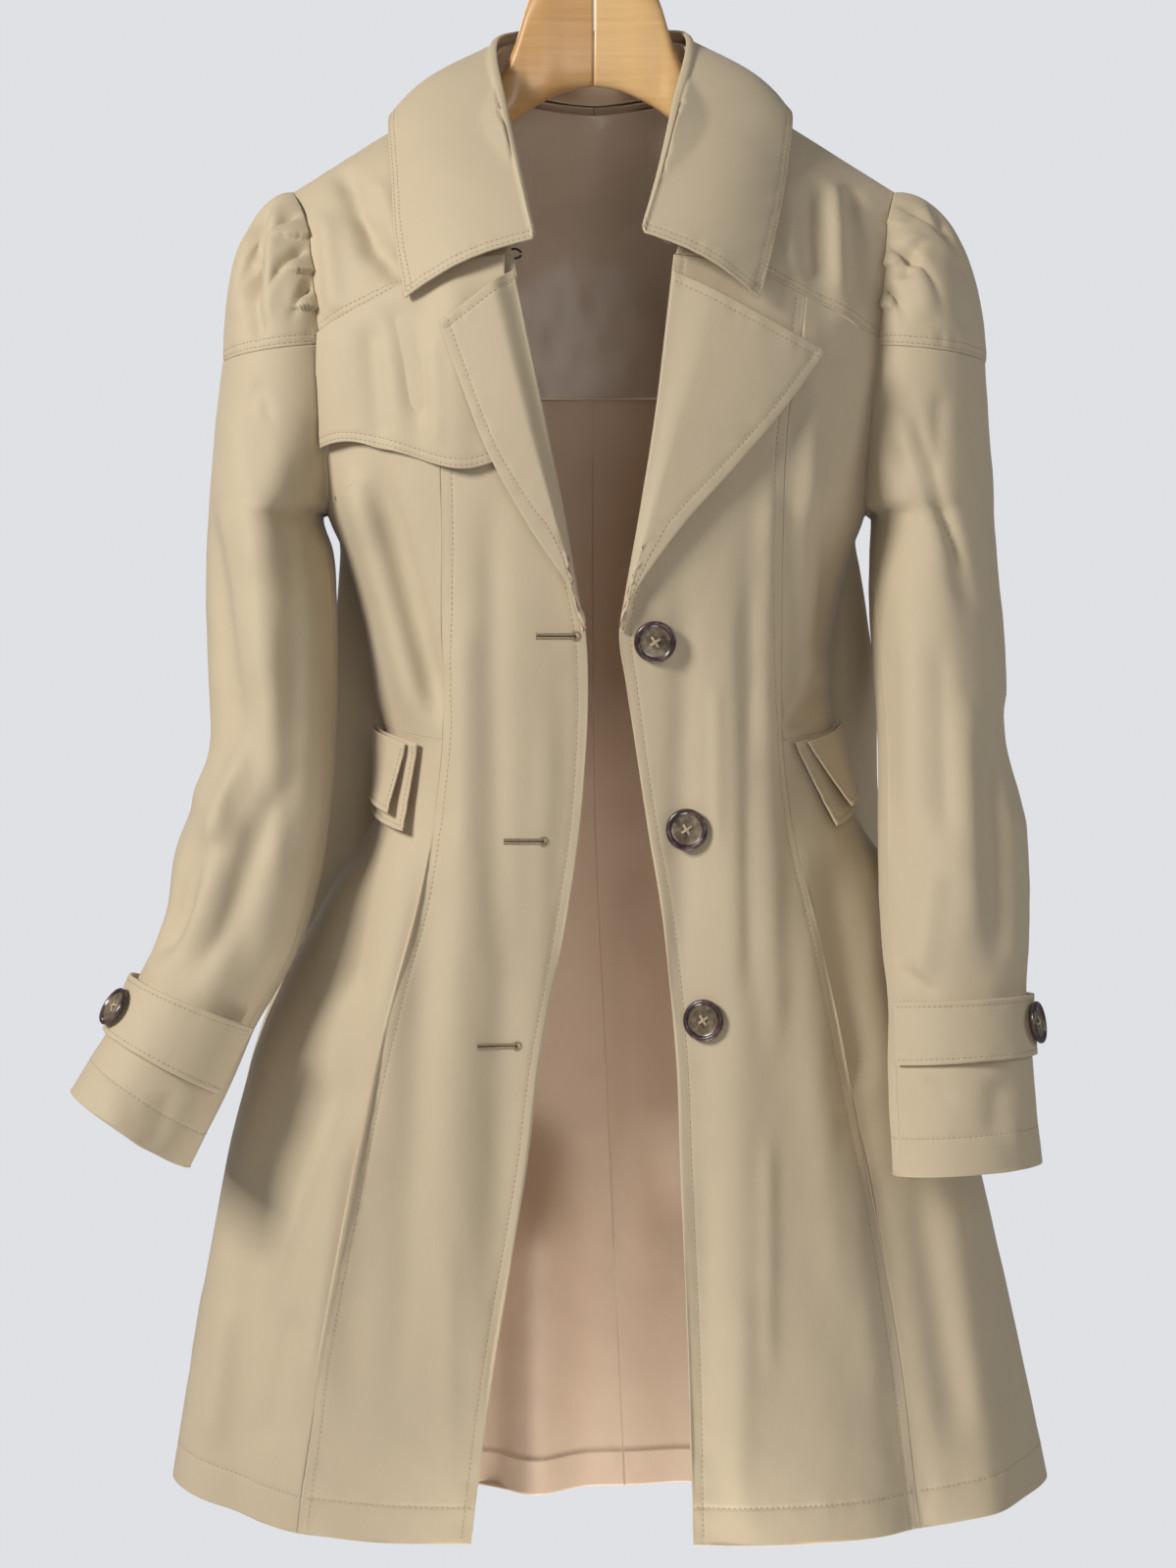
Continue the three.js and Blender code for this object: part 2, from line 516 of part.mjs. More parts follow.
// A piece of cloth: a grid over a surface and the same grid one wall further in.
// inside(p) gives a point on the piece's inner side.
function clothPiece(name, material, point, across, down, wall, inside = (p) => vector(0, 0, p.z)) {
  const us = Array.isArray(across) ? across : steps(across);
  const vs = Array.isArray(down) ? down : steps(down);
  const middle = point(0.5, 0.5);
  const middleNormal = surfaceNormal(point, 0.5, 0.5);
  const sign = middleNormal.dot(middle.clone().sub(inside(middle))) > 0 ? 1 : -1;
  const outer = [];
  const inner = [];
  for (const v of vs) {
    for (const u of us) {
      const p = point(u, v);
      outer.push(p);
      inner.push(p.clone().addScaledVector(surfaceNormal(point, u, v), -sign * wall));
    }
  }
  const width = us.length;
  const height = vs.length;
  const points = outer.concat(inner);
  const under = width * height;
  const indices = [];
  const quad = (a, b, c, d) => indices.push(a, b, c, a, c, d);
  for (let j = 0; j < height - 1; j += 1) {
    for (let i = 0; i < width - 1; i += 1) {
      const a = j * width + i;
      quad(a, a + 1, a + width + 1, a + width);
      quad(under + a, under + a + width, under + a + width + 1, under + a + 1);
    }
  }
  for (let i = 0; i < width - 1; i += 1) {
    const low = (height - 1) * width + i;
    quad(i + 1, i, under + i, under + i + 1);
    quad(low, low + 1, under + low + 1, under + low);
  }
  for (let j = 0; j < height - 1; j += 1) {
    const first = j * width;
    const last = first + width - 1;
    quad(first, first + width, under + first + width, under + first);
    quad(last + width, last, under + last, under + last + width);
  }
  if (signedVolume(points, indices) < 0) {
    indices.reverse();
  }
  addMesh(name, material, points.flatMap((p) => p.toArray()), indices);
}

// Fronts
const frontLine = (line, side, z) => read(FRONT_LINES, 'z', `${line}${capital(side)}`, z);
const yokeSeamZ = (x) => read(YOKE_SEAM, 'x', 'z', Math.abs(x));
const hemZ = (turn) => {
  const aside = Math.abs(Math.sin(turn)) ** 3;
  return mix(Math.cos(turn) > 0 ? HEM_FRONT_Z : HEM_BACK_Z, HEM_SIDE_Z, aside);
};
const UPPER_ROWS = 10;
const SKIRT_ROWS = 9;
const UNDERARM_SHARE = 0.4;   // share of the side front's rows that lies above the underarm

function centreFront(side) {
  const seamTop = yokeSeamZ(frontLine('seam', side, YOKE_SEAM[2].z));
  const edgeTop = yokeSeamZ(frontLine('edge', side, YOKE_SEAM[0].z));
  const waistShare = UPPER_ROWS / (UPPER_ROWS + SKIRT_ROWS);
  const point = (u, v) => {
    const top = mix(edgeTop, seamTop, u ** 1.5);
    const z = v < waistShare
      ? mix(top, WAIST_SEAM_Z, v / waistShare)
      : mix(WAIST_SEAM_Z, hemZ(0), (v - waistShare) / (1 - waistShare));
    const x = mix(frontLine('edge', side, z), frontLine('seam', side, z), u);
    const turn = turnAt(x, z);
    const hemShare = clamp((v - waistShare) / (1 - waistShare), 0, 1);
    return bodyPoint(turn, z + (hemZ(turn) - hemZ(0)) * hemShare);
  };
  clothPiece(`centre_front_${side}`, GABARDINE, withSeamGap(point), 7, UPPER_ROWS + SKIRT_ROWS, CLOTH);
}

const waistZ = (share) => mix(WAIST_SEAM_Z, WAIST_SIDE_Z, share);

function sideFront(side) {
  const point = (u, v) => {
    const seamZ = mix(yokeSeamZ(frontLine('seam', side, YOKE_SEAM[2].z)), waistZ(0), v);
    const armTop = yokeSeamZ(read(ARMHOLE, 'z', side, YOKE_SEAM[3].z));
    const sideZ = v < UNDERARM_SHARE
      ? mix(armTop, UNDERARM_Z, v / UNDERARM_SHARE)
      : mix(UNDERARM_Z, waistZ(1), (v - UNDERARM_SHARE) / (1 - UNDERARM_SHARE));
    const straightZ = mix(seamZ, sideZ, u);
    const from = turnAt(frontLine('seam', side, straightZ), straightZ);
    const turn = mix(from, armholeTurn(side, sideZ, false), u);
    const topZ = yokeSeamZ(bodyPoint(turn, straightZ).x);
    const straightTop = mix(yokeSeamZ(frontLine('seam', side, YOKE_SEAM[2].z)), armTop, u);
    return bodyPoint(turn, straightZ + (topZ - straightTop) * (1 - v) ** 3);
  };
  clothPiece(`side_front_${side}`, GABARDINE, withSeamGap(point), 6, UPPER_ROWS, CLOTH);
}

function sideSkirt(side) {
  const point = (u, v) => {
    const flatZ = mix(waistZ(u), hemZ(0), v);
    const from = turnAt(frontLine('seam', side, flatZ), flatZ);
    const turn = mix(from, directionOf(side) * Math.PI / 2, u);
    return bodyPoint(turn, flatZ + (hemZ(turn) - hemZ(0)) * v);
  };
  clothPiece(`side_skirt_${side}`, GABARDINE, withSeamGap(point), 7, SKIRT_ROWS, CLOTH);
}

const YOKE_START = 0.034;      // leaves the shoulder seam open by a hair
const YOKE_ROW_POWER = 1.7;    // packs the yoke's rows towards the shoulder
function frontYoke(side) {
  const sign = directionOf(side);
  const point = (u, v) => {
    const drop = mix(YOKE_START, 1, v) ** YOKE_ROW_POWER;
    const neckX = read(FRONT_NECK, 'z', 'x', mix(ridgeHeight(BACK_NECK[3].x), YOKE_SEAM[0].z, drop));
    const armZ = mix(TIP_Z, yokeSeamZ(read(ARMHOLE, 'z', side, YOKE_SEAM[3].z)), drop);
    const x = sign * mix(neckX, read(ARMHOLE, 'z', side, armZ), u);
    const z = mix(ridgeHeight(x), yokeSeamZ(x), drop);
    return bodyPoint(turnAt(x, z), z);
  };
  const inside = () => vector(sign * 110, 0, YOKE_SEAM[0].z);
  clothPiece(`front_yoke_${side}`, GABARDINE, withSeamGap(point), 8, 7, CLOTH, inside);
}

// Back
const BACK_ARM_ROWS = 8;
const BACK_SIDE_ROWS = UPPER_ROWS * (1 - UNDERARM_SHARE);
const BACK_ROWS = BACK_ARM_ROWS + BACK_SIDE_ROWS + SKIRT_ROWS;
const BACK_RIDGE_GAP = 0.4;

function backTop(x) {
  const away = Math.abs(x);
  return away < BACK_NECK[3].x ? read(BACK_NECK, 'x', 'z', away) : ridgeHeight(away) - BACK_RIDGE_GAP;
}

// Height of the back's side edge, along the armhole and then the side seam
function backSideZ(v) {
  const row = v * BACK_ROWS;
  if (row < BACK_ARM_ROWS) {
    return mix(TIP_Z - BACK_RIDGE_GAP, UNDERARM_Z, (row / BACK_ARM_ROWS) ** 1.4);
  }
  if (row < BACK_ARM_ROWS + BACK_SIDE_ROWS) {
    return mix(UNDERARM_Z, WAIST_SIDE_Z, (row - BACK_ARM_ROWS) / BACK_SIDE_ROWS);
  }
  return mix(WAIST_SIDE_Z, HEM_SIDE_Z, (row - BACK_ARM_ROWS - BACK_SIDE_ROWS) / SKIRT_ROWS);
}

// Turn of a place on the back, from the centre back seam (u = 0) to the back's side edge (u = 1)
function backTurn(side, u, sideZ, z = sideZ) {
  const centre = Math.asin(read(CENTRE_BACK, 'z', 'x', z) / read(BODY, 'z', 'backLeft', z));
  const edgeTurn = Math.abs(armholeTurn(side, sideZ, true));
  const edge = directionOf(side) * Math.asin(Math.sin(edgeTurn) ** (2 / SQUARENESS));
  const share = Math.sin(mix(centre, edge, u));
  return Math.PI - Math.sign(share) * Math.asin(Math.abs(share) ** (SQUARENESS / 2));
}

function backPlace(side, u, v) {
  const sideZ = backSideZ(v);
  const hemDrop = (hemZ(backTurn(side, u, sideZ)) - HEM_SIDE_Z) * smooth((v - 0.3) / 0.7);
  const topX = Math.abs(bodyPoint(backTurn(side, u, backSideZ(0)), TIP_Z).x);
  const topRise = (backTop(topX) - backSideZ(0)) * (1 - smooth(v * 1.6));
  const z = sideZ + topRise + hemDrop;
  return { turn: backTurn(side, u, sideZ, z), z };
}

function backPanel(side) {
  const point = (u, v) => {
    const place = backPlace(side, u, v);
    return bodyPoint(place.turn, place.z);
  };
  clothPiece(`back_${side}`, GABARDINE, withSeamGap(point), 9, BACK_ROWS, CLOTH);
}

const LINING_REACH = radians(45);
const LINING_TOP_GAP = 3;
const LINING_SHOULDER = { from: 55, over: 22, dip: 24 };   // its top corners dip under the hanger's arms
function neckLining() {
  const point = (u, v) => {
    const turn = Math.PI + mix(-LINING_REACH, LINING_REACH, u);
    const topX = Math.abs(bodyPoint(turn, TIP_Z).x);
    const shoulderShare = smooth((topX - LINING_SHOULDER.from) / LINING_SHOULDER.over);
    const dip = LINING_TOP_GAP + LINING_SHOULDER.dip * shoulderShare;
    const z = mix(backTop(topX) - dip, LINING_HEM_Z, v);
    return lifted(turn, z, -CLOTH - LINING_GAP);
  };
  clothPiece('neck_lining', SATIN_LINING, point, 14, 7, SATIN);
}

// Lapels and storm flap
function lapel(side) {
  const last = LAPEL[side].length - 1;
  const point = (u, v) => {
    const at = v * last;
    const cell = (key) => read(LAPEL[side], 'at', key, at);
    const x = mix(cell('rollX'), cell('outerX'), u);
    const z = mix(cell('rollZ'), cell('outerZ'), u);
    const taper = 1 - smooth((v - LAPEL_TAPER_FROM) / (1 - LAPEL_TAPER_FROM)) * 0.5;
    const lift = mix(LAPEL_ROLL_LIFT, LAPEL_LIFT[side], smooth(u / LAPEL_ROLL_SHARE));
    return lifted(turnAt(x, z), z, lift * taper);
  };
  clothPiece(`lapel_${side}`, GABARDINE, point, 7, 11, DOUBLE_CLOTH);
}

function stormFlap() {
  const neckEnd = STORM_FLAP[0].x;
  const armEnd = STORM_FLAP[STORM_FLAP.length - 1].x;
  const point = (u, v) => {
    const x = mix(neckEnd, armEnd, u);
    const z = mix(yokeSeamZ(x) - FLAP_TOP_GAP, read(STORM_FLAP, 'x', 'z', x), v);
    const armX = -read(ARMHOLE, 'z', 'right', z) + FLAP_ARM_GAP;
    const fold = foldHeight(FLAP_FOLDS, 'topX', 'footX', x, z);
    return lifted(turnAt(Math.max(x, armX), z), z, mix(FLAP_TOP_LIFT, FLAP_LIFT, v) + fold);
  };
  clothPiece('storm_flap', GABARDINE, point, 13, 5, CLOTH);
}

// Collar
const collarRows = COLLAR.map((row) => {
  const neck = onBody(row.neckX, row.neckZ, row.face);
  const edge = onBody(row.edgeX, row.edgeZ, row.face);
  return { ...row, neckY: neck.y, edgeY: edge.y + row.face * LEAF_LIFT };
});
const COLLAR_LAST = COLLAR.length - 1;
const COLLAR_STEPS = 28;

function collarPoint(kind, along) {
  const at = along * COLLAR_LAST;
  const cell = (axis) => read(collarRows, 'at', `${kind}${axis}`, at);
  return vector(cell('X'), cell('Y'), cell('Z'));
}

// Horizontal direction away from the middle of the neck
const NECK_MIDDLE_Y = -18;
function awayFromNeck(p) {
  return vector(p.x, p.y - NECK_MIDDLE_Y, 0).normalize();
}

// Keeps a point of the collar off the shoulders below it
function clearOfBody(p, gap) {
  const half = read(BODY, 'z', p.x < 0 ? 'frontRight' : 'frontLeft', p.z);
  if (p.z > ridgeHeight(p.x) - 1 || Math.abs(p.x) > half) {
    return p;
  }
  const face = p.y < 0 ? -1 : 1;
  const under = onBody(p.x, p.z, face);
  const y = face < 0 ? Math.min(p.y, under.y - gap) : Math.max(p.y, under.y + gap);
  return vector(p.x, y, p.z);
}

const LEAF_TURN = 0.16;       // share of the leaf's grid that goes round the roll
const LEAF_ROWS = [0, LEAF_TURN * 0.5, LEAF_TURN * 0.999, 0.3, 0.48, 0.66, 0.84, 1];
const ROLL_ANGLE = { start: -Math.PI * 0.25, end: Math.PI * 0.6 };
function leafPoint(u, v) {
  const roll = collarPoint('roll', u);
  const edge = collarPoint('edge', u);
  const away = awayFromNeck(roll);
  if (v < LEAF_TURN) {
    const angle = mix(ROLL_ANGLE.start, ROLL_ANGLE.end, v / LEAF_TURN);
    const out = ROLL_RADIUS * Math.sin(angle);
    const up = ROLL_RADIUS * Math.cos(angle) - ROLL_RADIUS;
    return vector(roll.x + away.x * out, roll.y + away.y * out, roll.z + up);
  }
  const fall = (v - LEAF_TURN) / (1 - LEAF_TURN);
  const start = leafPoint(u, LEAF_TURN - 1e-6);
  const p = start.lerp(edge, fall);
  p.addScaledVector(away, LEAF_CROWN * Math.sin(Math.PI * fall));
  p.z += LEAF_CROWN * 0.5 * Math.sin(Math.PI * fall);
  return clearOfBody(p, LEAF_LIFT);
}

function collarLeaf() {
  const inside = (p) => vector(p.x * 0.3, p.y * 0.3, UNDERARM_Z);
  clothPiece('collar_leaf', GABARDINE, leafPoint, COLLAR_STEPS, LEAF_ROWS, DOUBLE_CLOTH, inside);
}

function collarStand() {
  const point = (u, v) => {
    const neck = collarPoint('neck', u);
    const roll = collarPoint('roll', u);
    const inward = awayFromNeck(neck).multiplyScalar(-STAND_INSET);
    const foot = neck.add(inward);
    const topInward = awayFromNeck(roll).multiplyScalar(-STAND_TOP_INSET);
    const top = roll.add(topInward);
    top.z -= STAND_TOP_DROP;
    return foot.lerp(top, v);
  };
  const along = (u, v) => point(mix(STAND_END_SHARE, 1 - STAND_END_SHARE, u), v);
  const inside = (p) => vector(0, NECK_MIDDLE_Y, p.z);
  clothPiece('collar_stand', GABARDINE, along, COLLAR_STEPS, 3, DOUBLE_CLOTH, inside);
}

// Sleeves: a closed ellipse below the underarm and a section open to the armhole above it
function sleeveSection(side, z) {
  const section = { open: 0 };
  for (const key of ['outer', 'inner', 'y', 'depth', 'raise']) {
    section[key] = read(SLEEVE[side], 'z', key, z);
  }
  if (z > UNDERARM_Z) {
    const front = bodyPoint(armholeTurn(side, z, false), z);
    const back = bodyPoint(armholeTurn(side, z, true), z);
    const below = smooth((CAP_ARM_Z - z) / (CAP_ARM_Z - UNDERARM_Z));
    const armX = Math.abs(front.x) + SLEEVE_ARM_GAP * below + HALF_SEAM * 2;
    section.y = (front.y + back.y) / 2;
    section.open = Math.asin(clamp((back.y - front.y) / 2 / section.depth, 0, 1));
    section.half = (section.outer - armX) / (1 + Math.cos(section.open));
  } else {
    section.half = (section.outer - section.inner) / 2;
  }
  section.x = section.outer - section.half;
  return section;
}

// turn is 0 on the outer side and positive towards the front
function sleevePoint(side, turn, z, lift = 0) {
  const section = sleeveSection(side, z);
  const fold = foldHeight(SLEEVE_FOLDS[side], 'topTurn', 'footTurn', (turn * 180) / Math.PI, z);
  const push = fold + lift;
  const x = section.x + (section.half + push) * Math.cos(turn);
  const y = section.y - (section.depth + push) * Math.sin(turn);
  return vector(directionOf(side) * x, y, z + section.raise * Math.cos(turn));
}

const sleeveReach = (side, z) => Math.PI - sleeveSection(side, z).open;
const sleeveInside = (side) => (p) => {
  const section = sleeveSection(side, p.z);
  return vector(directionOf(side) * section.x, section.y, p.z);
};
const capSeamZ = (turn) => SLEEVE.right[0].z - CAP_SEAM_DROP * Math.cos(turn) * 0.5;
const lastRow = (side) => SLEEVE[side][SLEEVE[side].length - 1];

// The height where the armhole is as open as a turn needs, which is the under sleeve's top
function underSleeveTop(side, turn) {
  let high = CAP_ARM_Z - 30;
  let low = UNDERARM_Z - 1.5;
  for (let i = 0; i < 24; i += 1) {
    const middle = (high + low) / 2;
    if (sleeveReach(side, middle) < turn) {
      high = middle;
    } else {
      low = middle;
    }
  }
  return low;
}

const JOIN_ROWS = 3;
const SLEEVE_ROWS = 12;
function topSleeve(side) {
  const joinShare = JOIN_ROWS / (JOIN_ROWS + SLEEVE_ROWS);
  const front = radians(SEAM_TURN.front);
  const back = radians(SEAM_TURN.back);
  const joinFront = underSleeveTop(side, front);
  const joinBack = underSleeveTop(side, back);
  const point = (u, v) => {
    const joinZ = mix(joinFront, joinBack, smooth(u));
    const z = v < joinShare
      ? mix(capSeamZ(2 - 4 * u), joinZ, v / joinShare)
      : mix(joinZ, lastRow(side).z, (v - joinShare) / (1 - joinShare));
    const reach = sleeveReach(side, z);
    return sleevePoint(side, mix(Math.min(reach, front), -Math.min(reach, back), u), z);
  };
  const rows = JOIN_ROWS + SLEEVE_ROWS;
  clothPiece(`top_sleeve_${side}`, GABARDINE, withSeamGap(point), 15, rows, CLOTH, sleeveInside(side));
}

function underSleeve(side) {
  const point = (u, v) => {
    const turn = mix(radians(SEAM_TURN.front), 2 * Math.PI - radians(SEAM_TURN.back), u);
    const top = underSleeveTop(side, Math.PI - Math.abs(Math.PI - turn));
    return sleevePoint(side, turn, mix(top, lastRow(side).z, v));
  };
  clothPiece(`under_sleeve_${side}`, GABARDINE, withSeamGap(point), 6, SLEEVE_ROWS, CLOTH, sleeveInside(side));
}

// Sleeve cap: from the armhole, over the puffed head, to the cap seam
function capPoint(side, around, v) {
  const share = Math.abs(around);
  const armZ = mix(TIP_Z, CAP_ARM_Z, share ** 1.3);
  const arm = bodyPoint(armholeTurn(side, armZ, around < 0), armZ);
  arm.x += directionOf(side) * HALF_SEAM * 4;
  const seamTurn = around * Math.min(sleeveReach(side, SLEEVE.right[0].z), Math.PI);
  const seamZ = capSeamZ(around * 2) + HALF_SEAM * 6;
  const seam = sleevePoint(side, around * sleeveReach(side, seamZ), seamZ);
  const out = Math.sin((v * Math.PI) / 2);
  const down = 1 - Math.cos((v * Math.PI) / 2);
  let pleat = 0;
  for (const place of PLEATS[side]) {
    const away = (share - place) / PLEAT_WIDTH;
    pleat -= PLEAT_DEPTH * Math.exp(-away * away);
  }
  const puff = CAP_PUFF * (1 - share ** 2) * Math.sin(Math.PI * v) ** 0.7 * (1 - v * 0.35);
  const swell = puff + pleat * smooth(v / PLEAT_RISE) * (1 - smooth(v / PLEAT_REACH));
  const x = mix(arm.x, seam.x, out);
  const y = mix(arm.y, seam.y, out);
  const outward = vector(directionOf(side) * Math.cos(seamTurn) * 0.5, -Math.sin(seamTurn), 0.8);
  return vector(x, y, mix(arm.z, seam.z, down)).addScaledVector(outward.normalize(), swell);
}

function sleeveCap(side) {
  const half = [1];
  for (const place of [...PLEATS[side]].reverse()) {
    half.push(place + PLEAT_SPREAD, place, place - PLEAT_SPREAD, place - PLEAT_SPAN);
  }
  const arounds = [...half, 0, ...half.map((value) => -value).reverse()];
  const across = arounds.map((value) => (1 - value) / 2);
  const point = (u, v) => capPoint(side, 1 - 2 * u, v);
  const inside = () => vector(directionOf(side) * read(ARMHOLE, 'z', side, TIP_Z), 0, CAP_ARM_Z);
  clothPiece(`sleeve_cap_${side}`, GABARDINE, point, across, 6, CLOTH, inside);
}

// Cuff straps and pocket flaps
function cuffStrap(side) {
  const strap = STRAPS[side];
  const point = (u, v) => {
    const turn = radians(mix(strap.from, strap.to, u));
    return sleevePoint(side, turn, strap.z - STRAP_HEIGHT * v, mix(strap.lift, STRAP_FOOT_LIFT, v));
  };
  clothPiece(`cuff_strap_${side}`, GABARDINE, point, 16, 3, DOUBLE_CLOTH, sleeveInside(side));
}

function pocketFlap(flap) {
  const point = (u, v) => {
    const endTurn = directionOf(flap.side) * radians(POCKET_END_TURN);
    const topZ = waistZ(u) - POCKET_TOP_GAP;
    const z = mix(topZ, flap.footZ + POCKET_FOOT_RISE * u, v);
    const frontTurn = turnAt(mix(flap.topX, flap.footX, v), z);
    const turn = mix(frontTurn, endTurn, u);
    return lifted(turn, z, flap.lift + flap.flare * v * (1 - u) + POCKET_END_LIFT * u);
  };
  clothPiece(`pocket_flap_${flap.name}_${flap.side}`, GABARDINE, point, 6, 3, POCKET_CLOTH);
}

// Buttons: a rimmed disc with four thread holes
function toSolid(geometry) {
  const source = geometry.index ? geometry.toNonIndexed() : geometry;
  const merged = new Map();
  const vertices = [];
  const triangles = [];
  const position = source.getAttribute('position');
  for (let i = 0; i < position.count; i += 1) {
    const corner = [position.getX(i), position.getY(i), position.getZ(i)];
    const key = corner.map((value) => Math.round(value * 1e4)).join(',');
    if (!merged.has(key)) {
      merged.set(key, vertices.length / 3);
      vertices.push(...corner);
    }
    triangles.push(merged.get(key));
  }
  const kept = [];
  for (let i = 0; i < triangles.length; i += 3) {
    const [a, b, c] = triangles.slice(i, i + 3);
    if (a !== b && b !== c && c !== a) {
      kept.push(a, b, c);
    }
  }
  return new wasm.Manifold(new wasm.Mesh({
    numProp: 3,
    vertProperties: new Float32Array(vertices),
    triVerts: new Uint32Array(kept),
  }));
}

function buttonGeometry() {
  const rim = BUTTON_RADIUS - 2.6;
  const profile = [
    [0, 0], [BUTTON_RADIUS - 2.5, 0], [BUTTON_RADIUS, 1.6], [BUTTON_RADIUS - 0.6, BUTTON_THICKNESS - 0.4],
    [BUTTON_RADIUS - 1.6, BUTTON_THICKNESS], [rim, BUTTON_THICKNESS - 1.2], [0, BUTTON_THICKNESS - 1.6],
  ].map(([x, y]) => new THREE.Vector2(x, y));
  let solid = toSolid(new THREE.LatheGeometry(profile, BUTTON_FACETS));
  for (const angle of [45, 135, 225, 315]) {
    const hole = new THREE.CylinderGeometry(BUTTON_HOLE_RADIUS, BUTTON_HOLE_RADIUS, BUTTON_THICKNESS * 3, 6);
    const [across, along] = [Math.cos(radians(angle)), Math.sin(radians(angle))];
    hole.translate(BUTTON_HOLE_REACH * across, 0, BUTTON_HOLE_REACH * along);
    solid = solid.subtract(toSolid(hole));
  }
  const cut = solid.getMesh();
  const geometry = new THREE.BufferGeometry();
  geometry.setAttribute('position', new THREE.Float32BufferAttribute(cut.vertProperties, 3));
  geometry.setIndex(Array.from(cut.triVerts));
  geometry.computeVertexNormals();
  return geometry;
}

function addButton(geometry, name, place, normal) {
  const mesh = new THREE.Mesh(geometry, HORN);
  mesh.name = name;
  mesh.position.copy(place);
  mesh.quaternion.setFromUnitVectors(vector(0, 1, 0), normal);
  coat.add(mesh);
}

function addButtons() {
  const geometry = buttonGeometry();
  for (const button of FRONT_BUTTONS) {
    const turn = turnAt(button.x, button.z);
    addButton(geometry, button.name, lifted(turn, button.z, button.standoff), bodyNormal(turn, button.z));
  }
  for (const button of CUFF_BUTTONS) {
    const strap = STRAPS[button.side];
    const z = strap.z - button.drop;
    const surface = (u, v) => {
      const turn = radians(button.turn + 20 * (u - 0.5));
      return sleevePoint(button.side, turn, z + 20 * (v - 0.5), strap.lift * 0.83);
    };
    const normal = surfaceNormal(surface, 0.5, 0.5);
    const inside = sleeveInside(button.side)(surface(0.5, 0.5));
    if (normal.dot(surface(0.5, 0.5).sub(inside)) < 0) {
      normal.negate();
    }
    addButton(geometry, button.name, surface(0.5, 0.5).addScaledVector(normal, button.standoff), normal);
  }
}

// Hanger: each half is a run of rounded sections
function hangerHalf(side) {
  const sign = directionOf(side);
  const stations = HANGER_ARM.map((row) => row.x);
  stations[0] = HALF_SEAM;
  const points = [];
  for (const x of stations) {
    const cell = (key) => read(HANGER_ARM, 'x', key, x);
    const middle = (cell('top') + cell('foot')) / 2;
    const halfHeight = (cell('top') - cell('foot')) / 2;
    for (let i = 0; i < HANGER_FACETS; i += 1) {
      const angle = (i / HANGER_FACETS) * 2 * Math.PI;
      const y = cell('y') + cell('half') * signedPower(Math.cos(angle), 2 / HANGER_SQUARENESS);
      const z = middle + halfHeight * signedPower(Math.sin(angle), 2 / HANGER_SQUARENESS);
      points.push(vector(sign * x, y, z));
    }
  }
  const lastStation = HANGER_ARM[HANGER_ARM.length - 1];
  const indices = [];
  for (let j = 0; j < stations.length - 1; j += 1) {
    for (let i = 0; i < HANGER_FACETS; i += 1) {
      const next = (i + 1) % HANGER_FACETS;
      const a = j * HANGER_FACETS + i;
      const b = j * HANGER_FACETS + next;
      indices.push(a, b, b + HANGER_FACETS, a, b + HANGER_FACETS, a + HANGER_FACETS);
    }
  }
  const first = points.length;
  points.push(vector(sign * HALF_SEAM, 0, (HANGER_ARM[0].top + HANGER_ARM[0].foot) / 2));
  points.push(vector(sign * (lastStation.x + 5), lastStation.y, (lastStation.top + lastStation.foot) / 2));
  const end = (stations.length - 1) * HANGER_FACETS;
  for (let i = 0; i < HANGER_FACETS; i += 1) {
    const next = (i + 1) % HANGER_FACETS;
    indices.push(first, next, i, first + 1, end + i, end + next);
  }
  if (signedVolume(points, indices) < 0) {
    indices.reverse();
  }
  addMesh(`hanger_${side}`, WOOD, points.flatMap((p) => p.toArray()), indices);
}

function hook() {
  const reach = HOOK_INSIDE + HOOK_WIRE;
  const middleZ = -HOOK_INSIDE;
  const places = [vector(0, 0, HANGER_ARM[0].top + HALF_SEAM * 2), vector(0, 0, -58), vector(0.8, 0, -46)];
  for (let degrees = -48; degrees <= 200; degrees += 24.8) {
    const angle = radians(degrees);
    places.push(vector(reach * Math.cos(angle), 0, middleZ + reach * Math.sin(angle)));
  }
  const section = new THREE.Shape();
  section.absarc(0, 0, HOOK_WIRE, 0, 2 * Math.PI);
  const geometry = new THREE.ExtrudeGeometry(section, {
    steps: HOOK_STEPS,
    curveSegments: 4,
    extrudePath: new THREE.CatmullRomCurve3(places),
  });
  const mesh = new THREE.Mesh(geometry, STEEL);
  mesh.name = 'hook';
  coat.add(mesh);
}

for (const side of SIDES) {
  centreFront(side);
  sideFront(side);
  sideSkirt(side);
  frontYoke(side);
  backPanel(side);
  lapel(side);
  sleeveCap(side);
  topSleeve(side);
  underSleeve(side);
  cuffStrap(side);
  hangerHalf(side);
}
POCKET_FLAPS.forEach(pocketFlap);
neckLining();
stormFlap();
collarLeaf();
collarStand();
addButtons();
hook();

export default coat;
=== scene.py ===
# Trench coat hung open on a wooden hanger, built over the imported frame.
# Lengths in the tables are millimetres; objects are made in metres.
# +Z is up, the coat faces -Y, and -X is the wearer's right side.
import math

